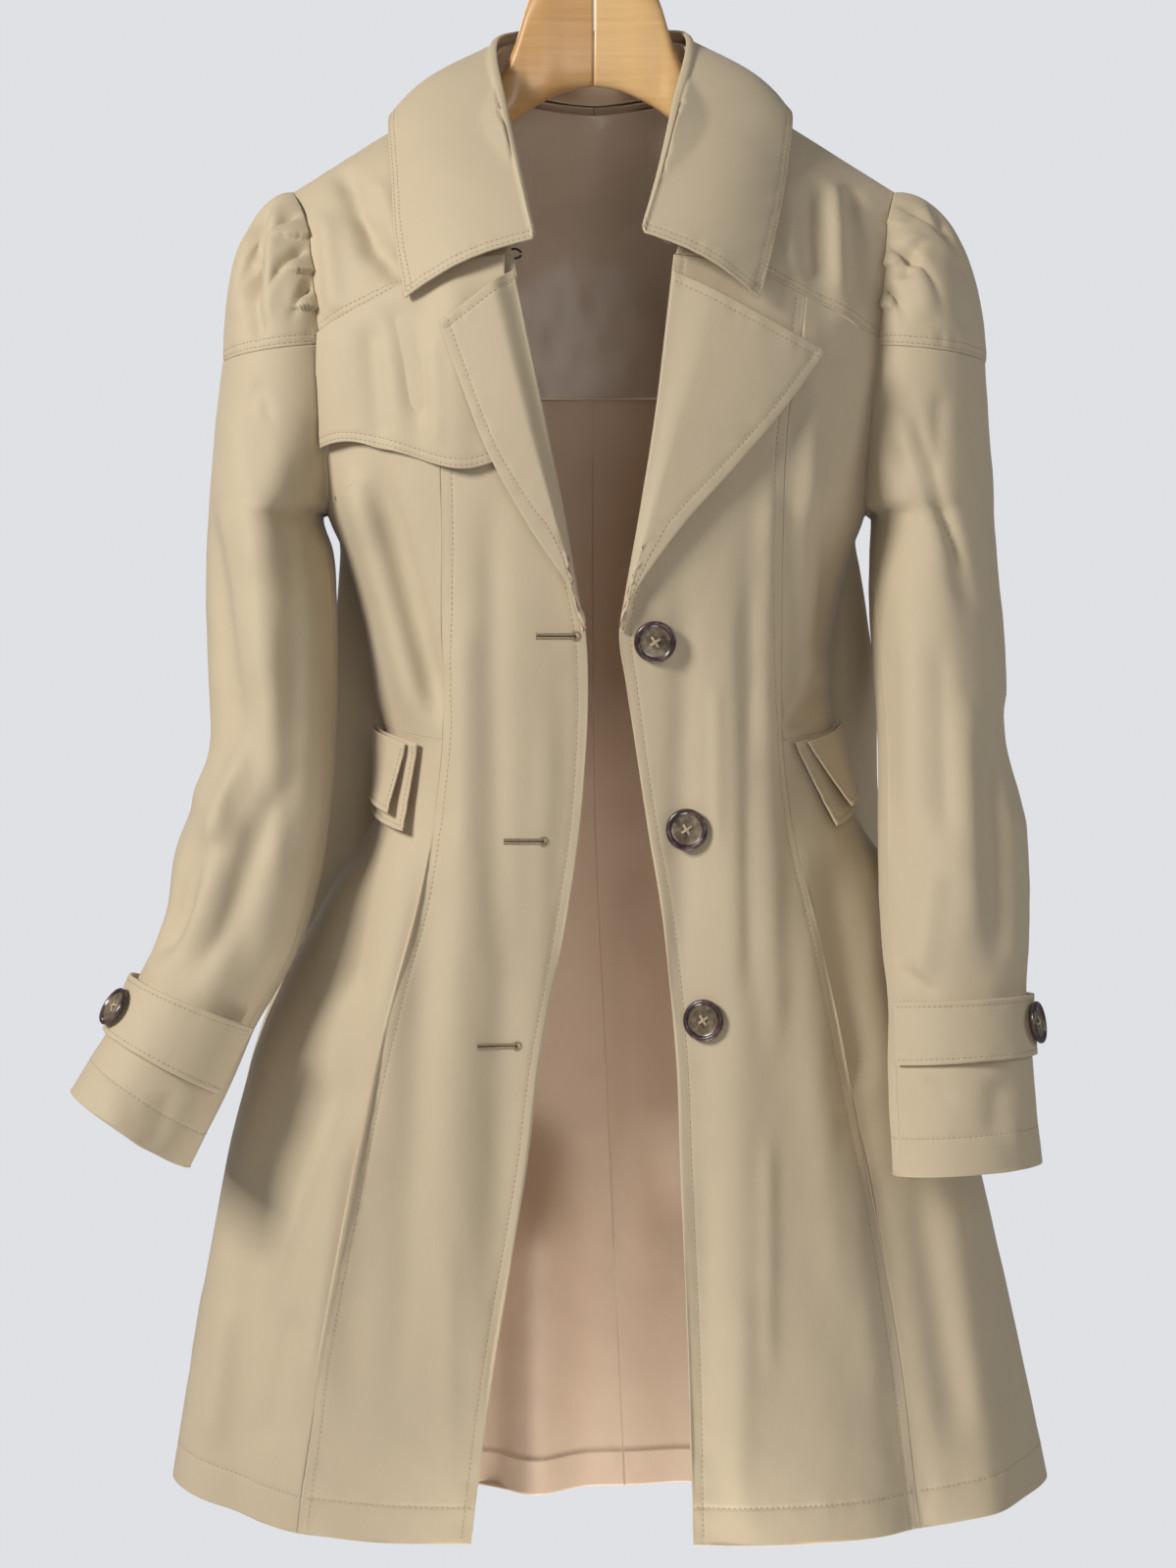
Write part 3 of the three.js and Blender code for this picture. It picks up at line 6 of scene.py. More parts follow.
import bpy
import numpy as np
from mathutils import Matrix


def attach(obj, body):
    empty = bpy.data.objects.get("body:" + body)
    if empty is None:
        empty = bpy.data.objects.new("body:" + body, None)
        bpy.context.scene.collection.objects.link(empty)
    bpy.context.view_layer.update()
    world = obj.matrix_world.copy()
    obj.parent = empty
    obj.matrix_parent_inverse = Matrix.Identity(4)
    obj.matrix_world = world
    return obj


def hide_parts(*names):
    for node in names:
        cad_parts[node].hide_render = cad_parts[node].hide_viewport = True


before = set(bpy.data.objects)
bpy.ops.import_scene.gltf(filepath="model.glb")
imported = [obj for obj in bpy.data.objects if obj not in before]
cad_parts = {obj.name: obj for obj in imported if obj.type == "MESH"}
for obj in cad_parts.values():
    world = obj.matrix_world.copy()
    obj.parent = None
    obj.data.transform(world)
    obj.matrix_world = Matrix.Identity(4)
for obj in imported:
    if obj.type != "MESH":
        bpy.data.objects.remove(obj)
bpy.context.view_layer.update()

MM = 0.001
SIDES = ("right", "left")
SIGN = {"right": -1, "left": 1}


def table(columns, *rows):
    data = np.array(rows, float)
    return {name: data[:, i] for i, name in enumerate(columns.split())}


# Body
SQUARENESS = 2.4
SIDE_BLEND = 0.5
RIDGE_TOP = -98
SHOULDER_SLOPE = 0.625
RIDGE_ROUND = 10
CAP_HEIGHT = 150
CAP_POWER = 0.75
TIP_Z = -213
UNDERARM_Z = -410
WAIST_SEAM_Z = -549
WAIST_SIDE_Z = -537
HEM_FRONT_Z = -1026
HEM_SIDE_Z = -997
HEM_BACK_Z = -1020
LINING_HEM_Z = -330
CENTRE_BACK = table("z x", (-100, 0), (-560, 0), (-760, 8), (-1030, 20))
BODY = table(
    "z front_right front_left back_right back_left front back",
    (-98, 200, 200, 200, 200, 80, 88),
    (-213, 200, 200, 200, 200, 87, 98),
    (-260, 191, 192, 191, 192, 95, 102),
    (-307, 181, 184, 181, 184, 102, 104),
    (-360, 171, 174, 172, 175, 107, 104),
    (-410, 163, 166, 163, 166, 106, 99),
    (-440, 150, 155, 172, 180, 104, 95),
    (-480, 139, 146, 178, 189, 101, 90),
    (-520, 133, 143, 184, 194, 97, 85),
    (-550, 128, 148, 188, 194, 96, 84),
    (-590, 131, 158, 196, 195, 96, 87),
    (-635, 159, 181, 205, 199, 97, 91),
    (-700, 188, 205, 218, 214, 98, 94),
    (-746, 208, 220, 228, 226, 98, 95),
    (-863, 235, 248, 235, 248, 98, 94),
    (-998, 257, 277, 257, 277, 96, 91),
    (-1040, 262, 283, 262, 283, 95, 90),
)
ARMHOLE = table(
    "z right left",
    (-213, 184, 184), (-233, 175, 179), (-267, 170, 176), (-307, 166, 172),
    (-350, 162, 168), (-385, 160, 165), (-405, 161, 164.5), (-410, 163, 166),
)
FRONT_LINES = table(
    "z edge_right edge_left seam_right seam_left",
    (-262, -48, 47, -104, 128),
    (-315, -38, 41, -97, 122),
    (-356, -29.5, 36, -92, 115),
    (-413, -18, 27, -90, 111.5),
    (-465, -9, 18, -90, 110.5),
    (-488, -4.6, 15, -90, 110.5),
    (-517, -3.5, 19.5, -89.5, 110.5),
    (-549, -4.5, 24.5, -89, 111.5),
    (-604, -9, 33, -96, 119),
    (-662, -18, 42.5, -107, 133),
    (-737, -32, 49.5, -126, 150),
    (-806, -41, 52, -139, 165),
    (-921, -61, 57, -159, 185),
    (-1030, -75, 60, -176, 198),
)
EDGE_TURN = table("z depth", (-262, 0), (-430, 1), (-520, 8), (-700, 13), (-880, 10), (-1030, 12))
EDGE_TURN_WIDTH = 38
YOKE_SEAM = table("x z", (40, -262), (80, -266), (115, -280), (170, -307))
FRONT_NECK = table("z x", (-142, 70.5), (-178, 69), (-222, 61), (-262, 48))
BACK_NECK = table("x z", (0, -151), (26, -150), (50, -147.5), (70.5, -142.5))

# Folds: a line from its top to its foot, its width and its height (below 0 is a trough)
FOLD_COLUMNS = "top_x top_z foot_x foot_z width height"
FRONT_FOLDS = table(
    FOLD_COLUMNS,
    (-150, -372, -98, -560, 10, 6),
    (-134, -372, -88, -545, 9, -6),
    (-76, -400, -82, -940, 15, 4),
    (-100, -590, -186, -1080, 14, 6),
    (-148, -760, -170, -960, 14, 6),
    (-200, -800, -226, -1100, 16, -7),
    (84, -400, 84, -1080, 17, 5),
    (104, -380, 102, -570, 8, 4),
    (126, -350, 124, -540, 9, 5),
    (150, -700, 205, -1100, 15, -6),
    (205, -760, 250, -1100, 16, 8),
    (-128, -205, -122, -285, 11, -4),
    (152, -215, 150, -310, 9, 4),
)
BACK_FOLDS = table(
    FOLD_COLUMNS,
    (-38, -780, -38, -1180, 22, -36),
    (-84, -760, -96, -1130, 22, 12),
    (48, -780, 62, -1130, 24, 13),
    (110, -760, 128, -1130, 22, -11),
    (165, -700, 195, -1130, 24, 11),
    (-150, -720, -168, -1130, 22, -11),
    (-200, -720, -218, -1130, 20, 8),
    (70, -430, 60, -640, 14, -5),
    (-66, -420, -60, -650, 14, -5),
    (-120, -240, -100, -420, 16, -4),
    (122, -240, 104, -430, 16, -4),
)
FOLD_FADE = 0.22

# Finer folds, for the look only, by x and z as the front or the back shows them
FINE_FRONT = table(
    FOLD_COLUMNS,
    (-147, -385, -98, -547, 8, 2), (-129, -389, -89, -546, 8, -3), (-61, -390, -58, -690, 9, -3),
    (-77, -471, -78, -633, 8, 2), (-149, -756, -198, -892, 5, 2.2), (-135, -592, -148, -708, 11, -5),
    (-96, -575, -119, -979, 13, -4), (-86, -829, -87, -1014, 7, 2), (-50, -610, -61, -979, 10, -2.5),
    (-169, -730, -158, -748, 2, -1.2), (-177, -881, -198, -979, 8, -2.5), (-220, -881, -231, -979, 8, 2.5),
    (-27, -517, -33, -748, 7, 1.5), (72, -509, 73, -621, 4, 1.4), (103, -771, 103, -933, 5, 2),
    (54, -437, 48, -748, 9, -3), (103, -512, 107, -748, 8, 3), (91, -437, 92, -719, 6, -2.6),
    (141, -390, 138, -517, 7, -4), (142, -512, 115, -545, 5, -3), (134, -492, 112, -539, 5, 2),
    (141, -610, 161, -765, 12, -5), (193, -806, 219, -979, 11, -4), (152, -777, 170, -950, 9, 2.5),
    (66, -794, 63, -1002, 8, -2), (89, -864, 84, -1014, 7, 1.5),
    (128, -300, 133, -430, 9, 3),
    (-40, -640, -36, -960, 14, 2.2), (40, -560, 44, -900, 12, 2), (168, -560, 186, -700, 8, 3),
    (-176, -640, -215, -830, 12, 4), (-128, -700, -150, -960, 14, -4), (120, -640, 150, -900, 12, 3),
)
FINE_BACK = table(
    FOLD_COLUMNS,
    (-150, -300, -120, -420, 9, -3), (140, -300, 118, -430, 9, -3), (-30, -250, -36, -420, 12, 2),
    (40, -260, 30, -430, 12, 2), (-100, -470, -60, -560, 8, -3), (105, -470, 62, -570, 8, -3),
    (-130, -500, -150, -640, 9, 3), (135, -520, 158, -650, 9, 3), (-60, -560, -80, -760, 9, 3),
    (56, -560, 72, -780, 9, 3), (-180, -600, -205, -800, 10, -4), (185, -620, 210, -820, 10, -4),
    (-236, -860, -244, -1040, 9, 3), (246, -860, 256, -1040, 9, 3), (20, -620, 28, -900, 10, -3),
    (-60, -870, -66, -1090, 9, 4), (80, -900, 92, -1090, 8, -4), (-128, -900, -140, -1090, 9, -4),
)
FINE_YOKE = table(
    FOLD_COLUMNS,
    (-154, -196, -130, -268, 7, -6.5), (-143, -226, -114, -280, 6, -5), (-130, -206, -112, -266, 6, 4),
    (-163, -225, -153, -300, 6, 4), (-110, -190, -98, -250, 7, -3), (132, -205, 133, -284, 7, -4.5),
    (157, -205, 158, -294, 6, -4.5), (145, -205, 146, -290, 6, 3.5), (114, -205, 117, -274, 8, 3),
)
FINE_FLAP = table(
    FOLD_COLUMNS, (-120, -284, -101, -366, 8, -3.5), (-134, -294, -127, -384, 7, -4),
    (-95, -300, -92, -390, 5, 2.5),
)
FINE_SLEEVE = {
    "right": table(
        FOLD_COLUMNS,
        (-218, -340, -198, -460, 11, 3), (-206, -400, -183, -620, 11, 3), (-229, -420, -212, -620, 10, -3.5),
        (-201, -500, -199, -630, 9, -2.5), (-232, -490, -237, -600, 8, 2), (-168, -430, -168, -620, 9, 2),
        (-179, -470, -180, -640, 8, -2.5), (-240, -580, -241, -710, 12, -2.2),
        (-226, -560, -222, -710, 12, 2),
        (-206, -560, -206, -710, 12, -2), (-184, -580, -191, -700, 11, 1.5),
        (-201, -332, -208, -356, 3, -1.4), (-201, -332, -193, -360, 3, -1.4),
        (-248, -753, -258, -789, 8, -2.5),
        (-284, -745, -278, -780, 9, 2), (-161, -353, -164, -411, 7, -2),
    ),
    "left": table(
        FOLD_COLUMNS,
        (189, -348, 220, -453, 4, -3.5), (181, -350, 212, -453, 6, 3), (187, -435, 188, -604, 10, 3),
        (204, -481, 206, -616, 8, -3.5), (219, -511, 219, -674, 9, 3.5), (234, -540, 236, -692, 8, -4),
        (177, -680, 197, -698, 5, -3.5), (199, -622, 190, -692, 7, 3), (234, -743, 230, -781, 8, -2.5),
        (192, -743, 208, -759, 5, -1.8), (207, -338, 204, -394, 5, -2), (179, -481, 177, -634, 6, -2),
    ),
}
FINE_CAP = {
    "right": table(
        FOLD_COLUMNS, (-202, -205, -206, -285, 6, -6), (-206, -255, -202, -312, 6, -6),
        (-195, -215, -199, -305, 6, 3),
        (-215, -228, -215, -299, 8, 2),
    ),
    "left": table(
        FOLD_COLUMNS, (197, -244, 186, -273, 5, -3.5), (207, -212, 215, -245, 4, -4),
        (191, -234, 201, -299, 7, 2.5),
        (221, -252, 226, -307, 7, -2),
    ),
}
CAP_TUCKS = {"right": (-221, -244, -267, -290), "left": (-214, -236, -262, -289)}
TUCK_HEIGHT = 3.2
TUCK_REACH = {"right": 30, "left": 17}

# Sleeves
SLEEVE_COLUMNS = "z outer inner y depth raise"
SLEEVE = {
    "right": table(
        SLEEVE_COLUMNS,
        (-313, 226, 160, 0, 56, 0), (-360, 232, 160, 0, 60, 0), (-412, 236, 166, -2, 63, 0),
        (-432, 236.5, 159.5, -7, 62, 0), (-460, 236, 156.5, -15, 59, 0), (-490, 234, 155.5, -24, 56, 0),
        (-551, 231, 156, -38, 50, 0), (-590, 240, 159, -48, 46, 5), (-625, 251, 165, -54, 45, 9),
        (-665, 256, 178, -62, 42, 13), (-704, 269, 202, -70, 39, 17), (-738, 287, 218, -76, 40, 20),
        (-779, 310, 239, -82, 43, 23),
    ),
    "left": table(
        SLEEVE_COLUMNS,
        (-313, 239, 164, 0, 56, 0), (-360, 242, 164, 0, 60, 0), (-412, 244.5, 169, -2, 63, 0),
        (-432, 245.5, 168, -7, 62, 0), (-460, 247, 167, -16, 59, 0), (-490, 248, 168, -26, 56, 0),
        (-551, 249.5, 171, -45, 50, 0), (-590, 257, 170, -60, 46, 0), (-633, 258.5, 169, -74, 43, 0),
        (-668, 257, 170, -87, 41, 1), (-700, 254, 173, -96, 39, 2), (-740, 257, 172.5, -104, 40, 3),
        (-800, 262, 174.5, -110, 43, 3.5),
    ),
}
SLEEVE_FOLDS = {
    "right": table(
        FOLD_COLUMNS,
        (30, -400, 62, -560, 14, -5),
        (66, -600, 22, -700, 15, -8),
        (110, -560, 78, -700, 13, -6),
        (96, -340, 92, -560, 16, 4),
        (62, -540, 58, -690, 12, 5),
        (-50, -430, -90, -600, 16, -5),
        (-60, -590, -30, -700, 15, -6),
    ),
    "left": table(
        FOLD_COLUMNS,
        (116, -360, 62, -480, 11, -4),
        (92, -400, 98, -700, 18, 3),
        (10, -520, 22, -600, 14, -5),
        (-50, -430, -84, -600, 16, -5),
        (-96, -520, -60, -690, 15, -5),
    ),
}
SEAM_TURN = {"front": math.radians(156), "back": math.radians(128)}
CAP_SEAM_DROP = 10
SEAM_TUCK = 0.6
CAP_ARM_Z = -299
CAP_PUFF = 2.5
PLEATS = {"right": (0.28, 0.55, 0.78), "left": (0.2, 0.54, 0.79)}
PLEAT_DEPTH = 7
PLEAT_RISE = 0.2
PLEAT_REACH = 0.85
PLEAT_WIDTH = 0.035

# Lapels, storm flap, collar
LAPEL_COLUMNS = "at roll_x roll_z outer_x outer_z"
LAPEL = {
    "right": table(
        LAPEL_COLUMNS,
        (0, -47, -273, -88.5, -305), (1, -38, -316, -76, -341), (2, -29.5, -357, -60, -382),
        (3, -18.5, -411, -37, -424), (4, -9, -463, -15, -458), (5, -4.8, -485, -7.5, -481),
    ),
    "left": table(
        LAPEL_COLUMNS,
        (0, 46, -273, 134, -319.5), (1, 41, -316, 108, -356), (2, 36, -357, 79, -391),
        (3, 27.5, -411, 52, -422), (4, 18.5, -463, 25, -460), (5, 15.2, -485, 18.5, -480),
    ),
}
LAPEL_ROLL_LIFT = 4.2
LAPEL_LIFT = {"right": 12.5, "left": 8}
STORM_FLAP = table("x z", (-52, -384), (-73, -390), (-92, -387), (-120, -377), (-144, -371), (-163, -374))
FLAP_LIFT = 5.2
FLAP_TOP_LIFT = 4.1
FLAP_FOLDS = table(
    FOLD_COLUMNS,
    (-101, -262, -104, -430, 9, -2.6),
    (-81, -262, -80, -430, 10, 2.5),
    (-150, -285, -151, -430, 10, 3),
)
COLLAR = table(
    "at roll_x roll_y roll_z edge_x edge_z neck_x neck_z face",
    (0, -35, -104, -251, -112, -288, -47, -262, -1),
    (1, -44, -81, -210, -119, -250, -61, -222, -1),
    (2, -54, -46, -165, -122, -212, -69, -178, -1),
    (3, -61, -10, -124, -125, -167, -70.5, -142, -1),
    (4, -48, 28, -109, -110, -188, -50, -147.5, 1),
    (5, -25, 46, -105, -58, -194, -26, -150, 1),
    (6, 0, 51, -104, 0, -195, 0, -151, 1),
    (7, 24, 46, -105, 57, -194, 26, -150, 1),
    (8, 45, 28, -108, 107, -188, 50, -147.5, 1),
    (9, 58, -10, -121, 121, -165, 70.5, -142, -1),
    (10, 48.5, -46, -165, 116, -210, 69, -178, -1),
    (11, 38.5, -81, -210, 108, -250, 61, -222, -1),
    (12, 28.5, -104, -247, 98, -289, 46, -262, -1),
)
LEAF_LIFT = 8.5
LEAF_CROWN = 7
ROLL_RADIUS = 3.2
STAND_INSET = 3.6
STAND_TOP_DROP = 7.5

# Pocket flaps, straps, buttons
POCKET_FLAPS = (
    ("upper", "right", -107, -113, -597, 7.1, 8),
    ("under", "right", -102, -109, -606, 4.2, 4),
    ("upper", "left", 124, 145, -592, 5.2, 8),
    ("under", "left", 118, 141, -602, 2.5, 4),
)
POCKET_END_TURN = math.radians(84)
POCKET_TOP_GAP = 1.2
POCKET_END_LIFT = 0.8
POCKET_FOOT_RISE = 16
STRAP_HEIGHT = 36
STRAP_FOOT_LIFT = 3.7
STRAPS = {"right": (-704, 7.5, 150, -112), "left": (-700, 5.2, 150, -112)}
FRONT_BUTTONS = (
    ("button_top", 36.5, -491, 0.45),
    ("button_middle", 56.5, -602, 1.0),
    ("button_low", 67, -714.5, 1.6),
)
CUFF_BUTTONS = (("cuff_button_right", "right", 26, 20, 0.2), ("cuff_button_left", "left", 20, 17, 1.1))
BUTTONHOLES = (("top", -21.6, -488), ("middle", -40.8, -609), ("low", -56.4, -730))
HOLE_LENGTH = 25
EYE_RADIUS = 1.7
BAR_PITCH = 0.85
BAR_LENGTH = 1.5
BAR_RADIUS = 0.28
SLIT_GAP = 0.5

# Hook and eye wires at the stand's ends: side x z bend
CLASPS = (("right", -47, -262, 3.0), ("left", 53, -260, 1.0))
CLASP_SIZE = 4.0
WIRE_RADIUS = 0.7
WIRE_STANDOFF = 1.5

HANGER_ARM = table(
    "x top foot y half",
    (0, -71, -148, 0, 9), (16, -73, -151, 0, 9.5), (30, -81, -157, -1, 10), (40, -96, -163, -1, 10),
    (48, -122, -169, -2, 10), (60, -147, -175, -2, 9.5), (90, -160, -192, -3, 10),
    (125, -183.2, -211, -4, 9), (155, -205.7, -229, -4, 7.5), (170, -217.2, -235, -4, 5),
)
HOOK_WIRE = 2.2
HOOK_INSIDE = 17


# Small helpers, all on arrays
def mix(a, b, share):
    return a + (b - a) * share


def smooth(value):
    u = np.clip(value, 0, 1)
    return u * u * (3 - 2 * u)


def signed_power(value, power):
    return np.sign(value) * np.abs(value) ** power


def stack(x, y, z):
    return np.stack(np.broadcast_arrays(x, y, z), axis=-1).astype(float)


def unit(v):
    return v / np.maximum(np.linalg.norm(v, axis=-1, keepdims=True), 1e-12)


def read(rows, by, key, value):
    """One column of a table at values of another column, on a smooth curve."""
    value = np.asarray(value, float)
    xs, ys = rows[by], rows[key]
    way = 1 if xs[-1] > xs[0] else -1
    i = np.clip(np.searchsorted(way * xs, way * value, side="left") - 1, 0, len(xs) - 2)
    before, after = np.maximum(i - 1, 0), np.minimum(i + 2, len(xs) - 1)
    xa, xb, ya, yb = xs[i], xs[i + 1], ys[i], ys[i + 1]
    span = xb - xa
    u = np.clip((value - xa) / span, 0, 1)
    slope_a = (yb - ys[before]) / (xb - xs[before]) * span
    slope_b = (ys[after] - ya) / (xs[after] - xa) * span
    u2, u3 = u * u, u ** 3
    ends = (2 * u3 - 3 * u2 + 1) * ya + (3 * u2 - 2 * u3) * yb
    return ends + (u3 - 2 * u2 + u) * slope_a + (u3 - u2) * slope_b


def fold_height(folds, across, z):
    height = np.zeros(np.broadcast(across, z).shape)
    for top_x, top_z, foot_x, foot_z, width, rise in zip(*(folds[key] for key in FOLD_COLUMNS.split())):
        along = np.clip((z - top_z) / (foot_z - top_z), 0, 1)
        ends = smooth(along / FOLD_FADE) * smooth((1 - along) / FOLD_FADE)
        away = (across - mix(top_x, foot_x, along)) / width
        height += rise * ends * np.exp(-away * away)
    return height


# Body surface
def ridge_height(x):
    return RIDGE_TOP - SHOULDER_SLOPE * (np.hypot(x, RIDGE_ROUND) - RIDGE_ROUND * 0.1)


def shoulder_cap(x, z):
    below = np.clip((ridge_height(x) - z) / CAP_HEIGHT, 0, 1)
    return (1 - (1 - below) ** 2) ** CAP_POWER


def by_side(is_left, rows, key, z):
    return np.where(is_left, read(rows, "z", key + "_left", z), read(rows, "z", key + "_right", z))


def body_point(turn, z):
    turn, z = np.broadcast_arrays(np.asarray(turn, float), np.asarray(z, float))
    left = np.sin(turn) >= 0
    facing = np.cos(turn)
    front_share = smooth((facing + SIDE_BLEND) / SIDE_BLEND)
    half = mix(by_side(left, BODY, "back", z), by_side(left, BODY, "front", z), front_share)
    x = half * signed_power(np.sin(turn), 2 / SQUARENESS)
    in_front = facing > 0
    depth = np.where(in_front, read(BODY, "z", "front", z), read(BODY, "z", "back", z)) * shoulder_cap(x, z)
    y = -depth * signed_power(facing, 2 / SQUARENESS)
    from_edge = (x - by_side(left, FRONT_LINES, "edge", z)) / EDGE_TURN_WIDTH
    turn_in = read(EDGE_TURN, "z", "depth", z) * np.exp(-from_edge * from_edge)
    push = np.where(in_front, fold_height(FRONT_FOLDS, x, z) - turn_in, fold_height(BACK_FOLDS, x, z))
    flat = np.abs(facing) ** 0.5 * np.sign(facing)
    return stack(x + push * np.sin(turn) * 0.6, y - push * flat, z)


def turn_at(x, z, back=False):
    x, z, back = np.broadcast_arrays(np.asarray(x, float), np.asarray(z, float), np.asarray(back))
    left = x >= 0
    half = np.where(back, by_side(left, BODY, "back", z), by_side(left, BODY, "front", z))
    turn = np.arcsin(np.clip(np.abs(x) / half, 0, 1) ** (SQUARENESS / 2))
    return np.where(left, 1, -1) * np.where(back, math.pi - turn, turn)


def on_body(x, z, face):
    return body_point(turn_at(x, z, np.asarray(face) > 0), z)


def armhole_turn(side, z, back):
    at_seam = turn_at(SIGN[side] * read(ARMHOLE, "z", side, z), z, back)
    return np.where(np.asarray(z) <= UNDERARM_Z, SIGN[side] * math.pi / 2, at_seam)


def body_normal(turn, z):
    round_it = body_point(turn + 0.01, z) - body_point(turn - 0.01, z)
    down = body_point(turn, z - 0.6) - body_point(turn, z)
    return unit(np.cross(down, round_it))


def lifted(turn, z, lift):
    return body_point(turn, z) + body_normal(turn, z) * np.asarray(lift, float)[..., None]


# Uneven cloth: sums of waves in fixed directions
def ripples(a, b, length, seed):
    """An uneven field of about -1 to 1 over two coordinates, with waves about length long."""
    total = np.zeros(np.broadcast(a, b).shape)
    for k in range(5):
        angle = 2.4 * k + seed * 1.7
        reach = length * (0.7 + 0.17 * k) / (2 * math.pi)
        total += np.sin((a * math.cos(angle) + b * math.sin(angle)) / reach + seed * 3.1 + k * 1.3)
    return total / 3


# Piece builder
EDGE_STEPS = (0, 0.25, 0.7, 1.4, 2.2, 3.2, 5.2, 6.0, 6.8, 9)
HEM_STEPS = (0, 0.25, 0.7, 1.4, 2.5, 5, 9, 14, 20.6, 21.4, 22.2, 23, 26)
LINES_BY_EDGE = ("u0", "u1", "v0", "v1")


def row_positions(near, far, inner, length):
    """Places along one line in millimetres: close-set near both ends, even between them."""
    near, far = np.array(near, float), np.array(far, float)
    squeeze = min(1, length * 0.92 / (near[-1] + far[-1]))
    near, far = near * squeeze, far * squeeze
    middle = np.linspace(near[-1], length - far[-1], inner + 2)[1:-1]
    return np.concatenate([near, middle, (length - far)[::-1]])


def cumulative(points, axis):
    steps = np.linalg.norm(np.diff(points, axis=axis), axis=-1)
    zero = np.zeros_like(np.take(steps, [0], axis=axis))
    return np.concatenate([zero, np.cumsum(steps, axis=axis)], axis=axis)


def lay_grid(point, step_u, step_v, steps):
    """A grid over a surface, evenly spaced by real length, with close-set lines at its edges."""
    cu, cv = np.linspace(0, 1, 49), np.linspace(0, 1, 81)
    coarse = point(*np.meshgrid(cu, cv))
    along_u, along_v = cumulative(coarse, 1), cumulative(coarse, 0)
    inner_u = max(3, int(along_u[:, -1].max() / step_u))
    inner_v = max(3, int(along_v[-1].max() / step_v))
    mean_u, mean_v = along_u[:, -1].mean(), along_v[-1].mean()
    mid_u = row_positions(steps["u0"], steps["u1"], inner_u, mean_u) / mean_u
    mid_v = row_positions(steps["v0"], steps["v1"], inner_v, mean_v) / mean_v
    shape = (len(mid_v), len(mid_u))
    u, v = np.zeros(shape), np.zeros(shape)
    edge = {key: np.zeros(shape) for key in LINES_BY_EDGE}
    for i, place in enumerate(mid_v):
        line = np.array([np.interp(place, cv, along_u[:, k]) for k in range(len(cu))])
        places = row_positions(steps["u0"], steps["u1"], inner_u, line[-1])
        u[i] = np.interp(places, line, cu)
        edge["u0"][i], edge["u1"][i] = places, line[-1] - places
    for j, place in enumerate(mid_u):
        line = np.array([np.interp(place, cu, along_v[k]) for k in range(len(cv))])
        places = row_positions(steps["v0"], steps["v1"], inner_v, line[-1])
        v[:, j] = np.interp(places, line, cv)
        edge["v0"][:, j], edge["v1"][:, j] = places, line[-1] - places
    return u, v, edge


def grid_normals(points):
    return unit(np.cross(np.gradient(points, axis=1), np.gradient(points, axis=0)))


def new_mesh(name, verts, quads, uv=None, slots=None, materials=(), smooth_faces=True):
    """A mesh object from numpy arrays in millimetres; a quad with a repeated last corner is a triangle."""
    quads = np.asarray(quads, np.int32)
    is_triangle = quads[:, 2] == quads[:, 3]
    totals = np.where(is_triangle, 3, 4).astype(np.int32)
    keep = np.ones(quads.shape, bool)
    keep[is_triangle, 3] = False
    corners = quads[keep]
    mesh = bpy.data.meshes.new(name)
    mesh.vertices.add(len(verts))
    mesh.vertices.foreach_set("co", (np.asarray(verts) * MM).astype(np.float32).ravel())
    mesh.loops.add(len(corners))
    mesh.loops.foreach_set("vertex_index", corners)
    mesh.polygons.add(len(quads))
    mesh.polygons.foreach_set("loop_start", np.concatenate([[0], np.cumsum(totals)[:-1]]).astype(np.int32))
    mesh.polygons.foreach_set("loop_total", totals)
    mesh.polygons.foreach_set("use_smooth", np.full(len(quads), smooth_faces))
    if slots is not None:
        mesh.polygons.foreach_set("material_index", np.asarray(slots, np.int32))
    mesh.update(calc_edges=True)
    if uv is not None:
        layer = mesh.uv_layers.new(name="UVMap")
        layer.data.foreach_set("uv", np.asarray(uv, np.float32)[corners].ravel())
    mesh.validate()
    obj = bpy.data.objects.new(name, mesh)
    bpy.context.scene.collection.objects.link(obj)
    for material in materials:
        mesh.materials.append(material)
    return obj


def grid_quads(height, width):
    a = (np.arange(height - 1)[:, None] * width + np.arange(width - 1)[None, :]).ravel()
    return np.stack([a, a + 1, a + width + 1, a + width], axis=1)


def shell(outer, inner, flip):
    """Vertices and quads of a closed sheet between two grids of the same shape."""
    height, width = outer.shape[:2]
    count = height * width
    top = grid_quads(height, width)
    under = top[:, ::-1] + count
    rim = []
    line = np.arange(width)
    low = (height - 1) * width + line
    rim.append(np.stack([line[1:], line[:-1], line[:-1] + count, line[1:] + count], axis=1))
    rim.append(np.stack([low[:-1], low[1:], low[1:] + count, low[:-1] + count], axis=1))
    first = np.arange(height) * width
    last = first + width - 1
    rim.append(np.stack([first[:-1], first[1:], first[1:] + count, first[:-1] + count], axis=1))
    rim.append(np.stack([last[1:], last[:-1], last[:-1] + count, last[1:] + count], axis=1))
    quads = np.concatenate([top, under] + rim)
    slots = np.concatenate([np.zeros(len(top)), np.ones(len(under)), np.zeros(sum(len(r) for r in rim))])
    if flip:
        quads = quads[:, ::-1]
    return np.concatenate([outer.reshape(-1, 3), inner.reshape(-1, 3)]), quads, slots


THREAD_LENGTH = 2.5
THREAD_PITCH = 3.2
THREAD_RADIUS = 0.3


def four_sided(rings):
    """Quads that join a row of four-cornered rings."""
    quads = []
    for row in range(rings - 1):
        for corner in range(4):
            near, following = 4 * row + corner, 4 * row + (corner + 1) % 4
            quads.append((near, following, following + 4, near + 4))
    return np.array(quads)


STITCH_FACES = four_sided(4)


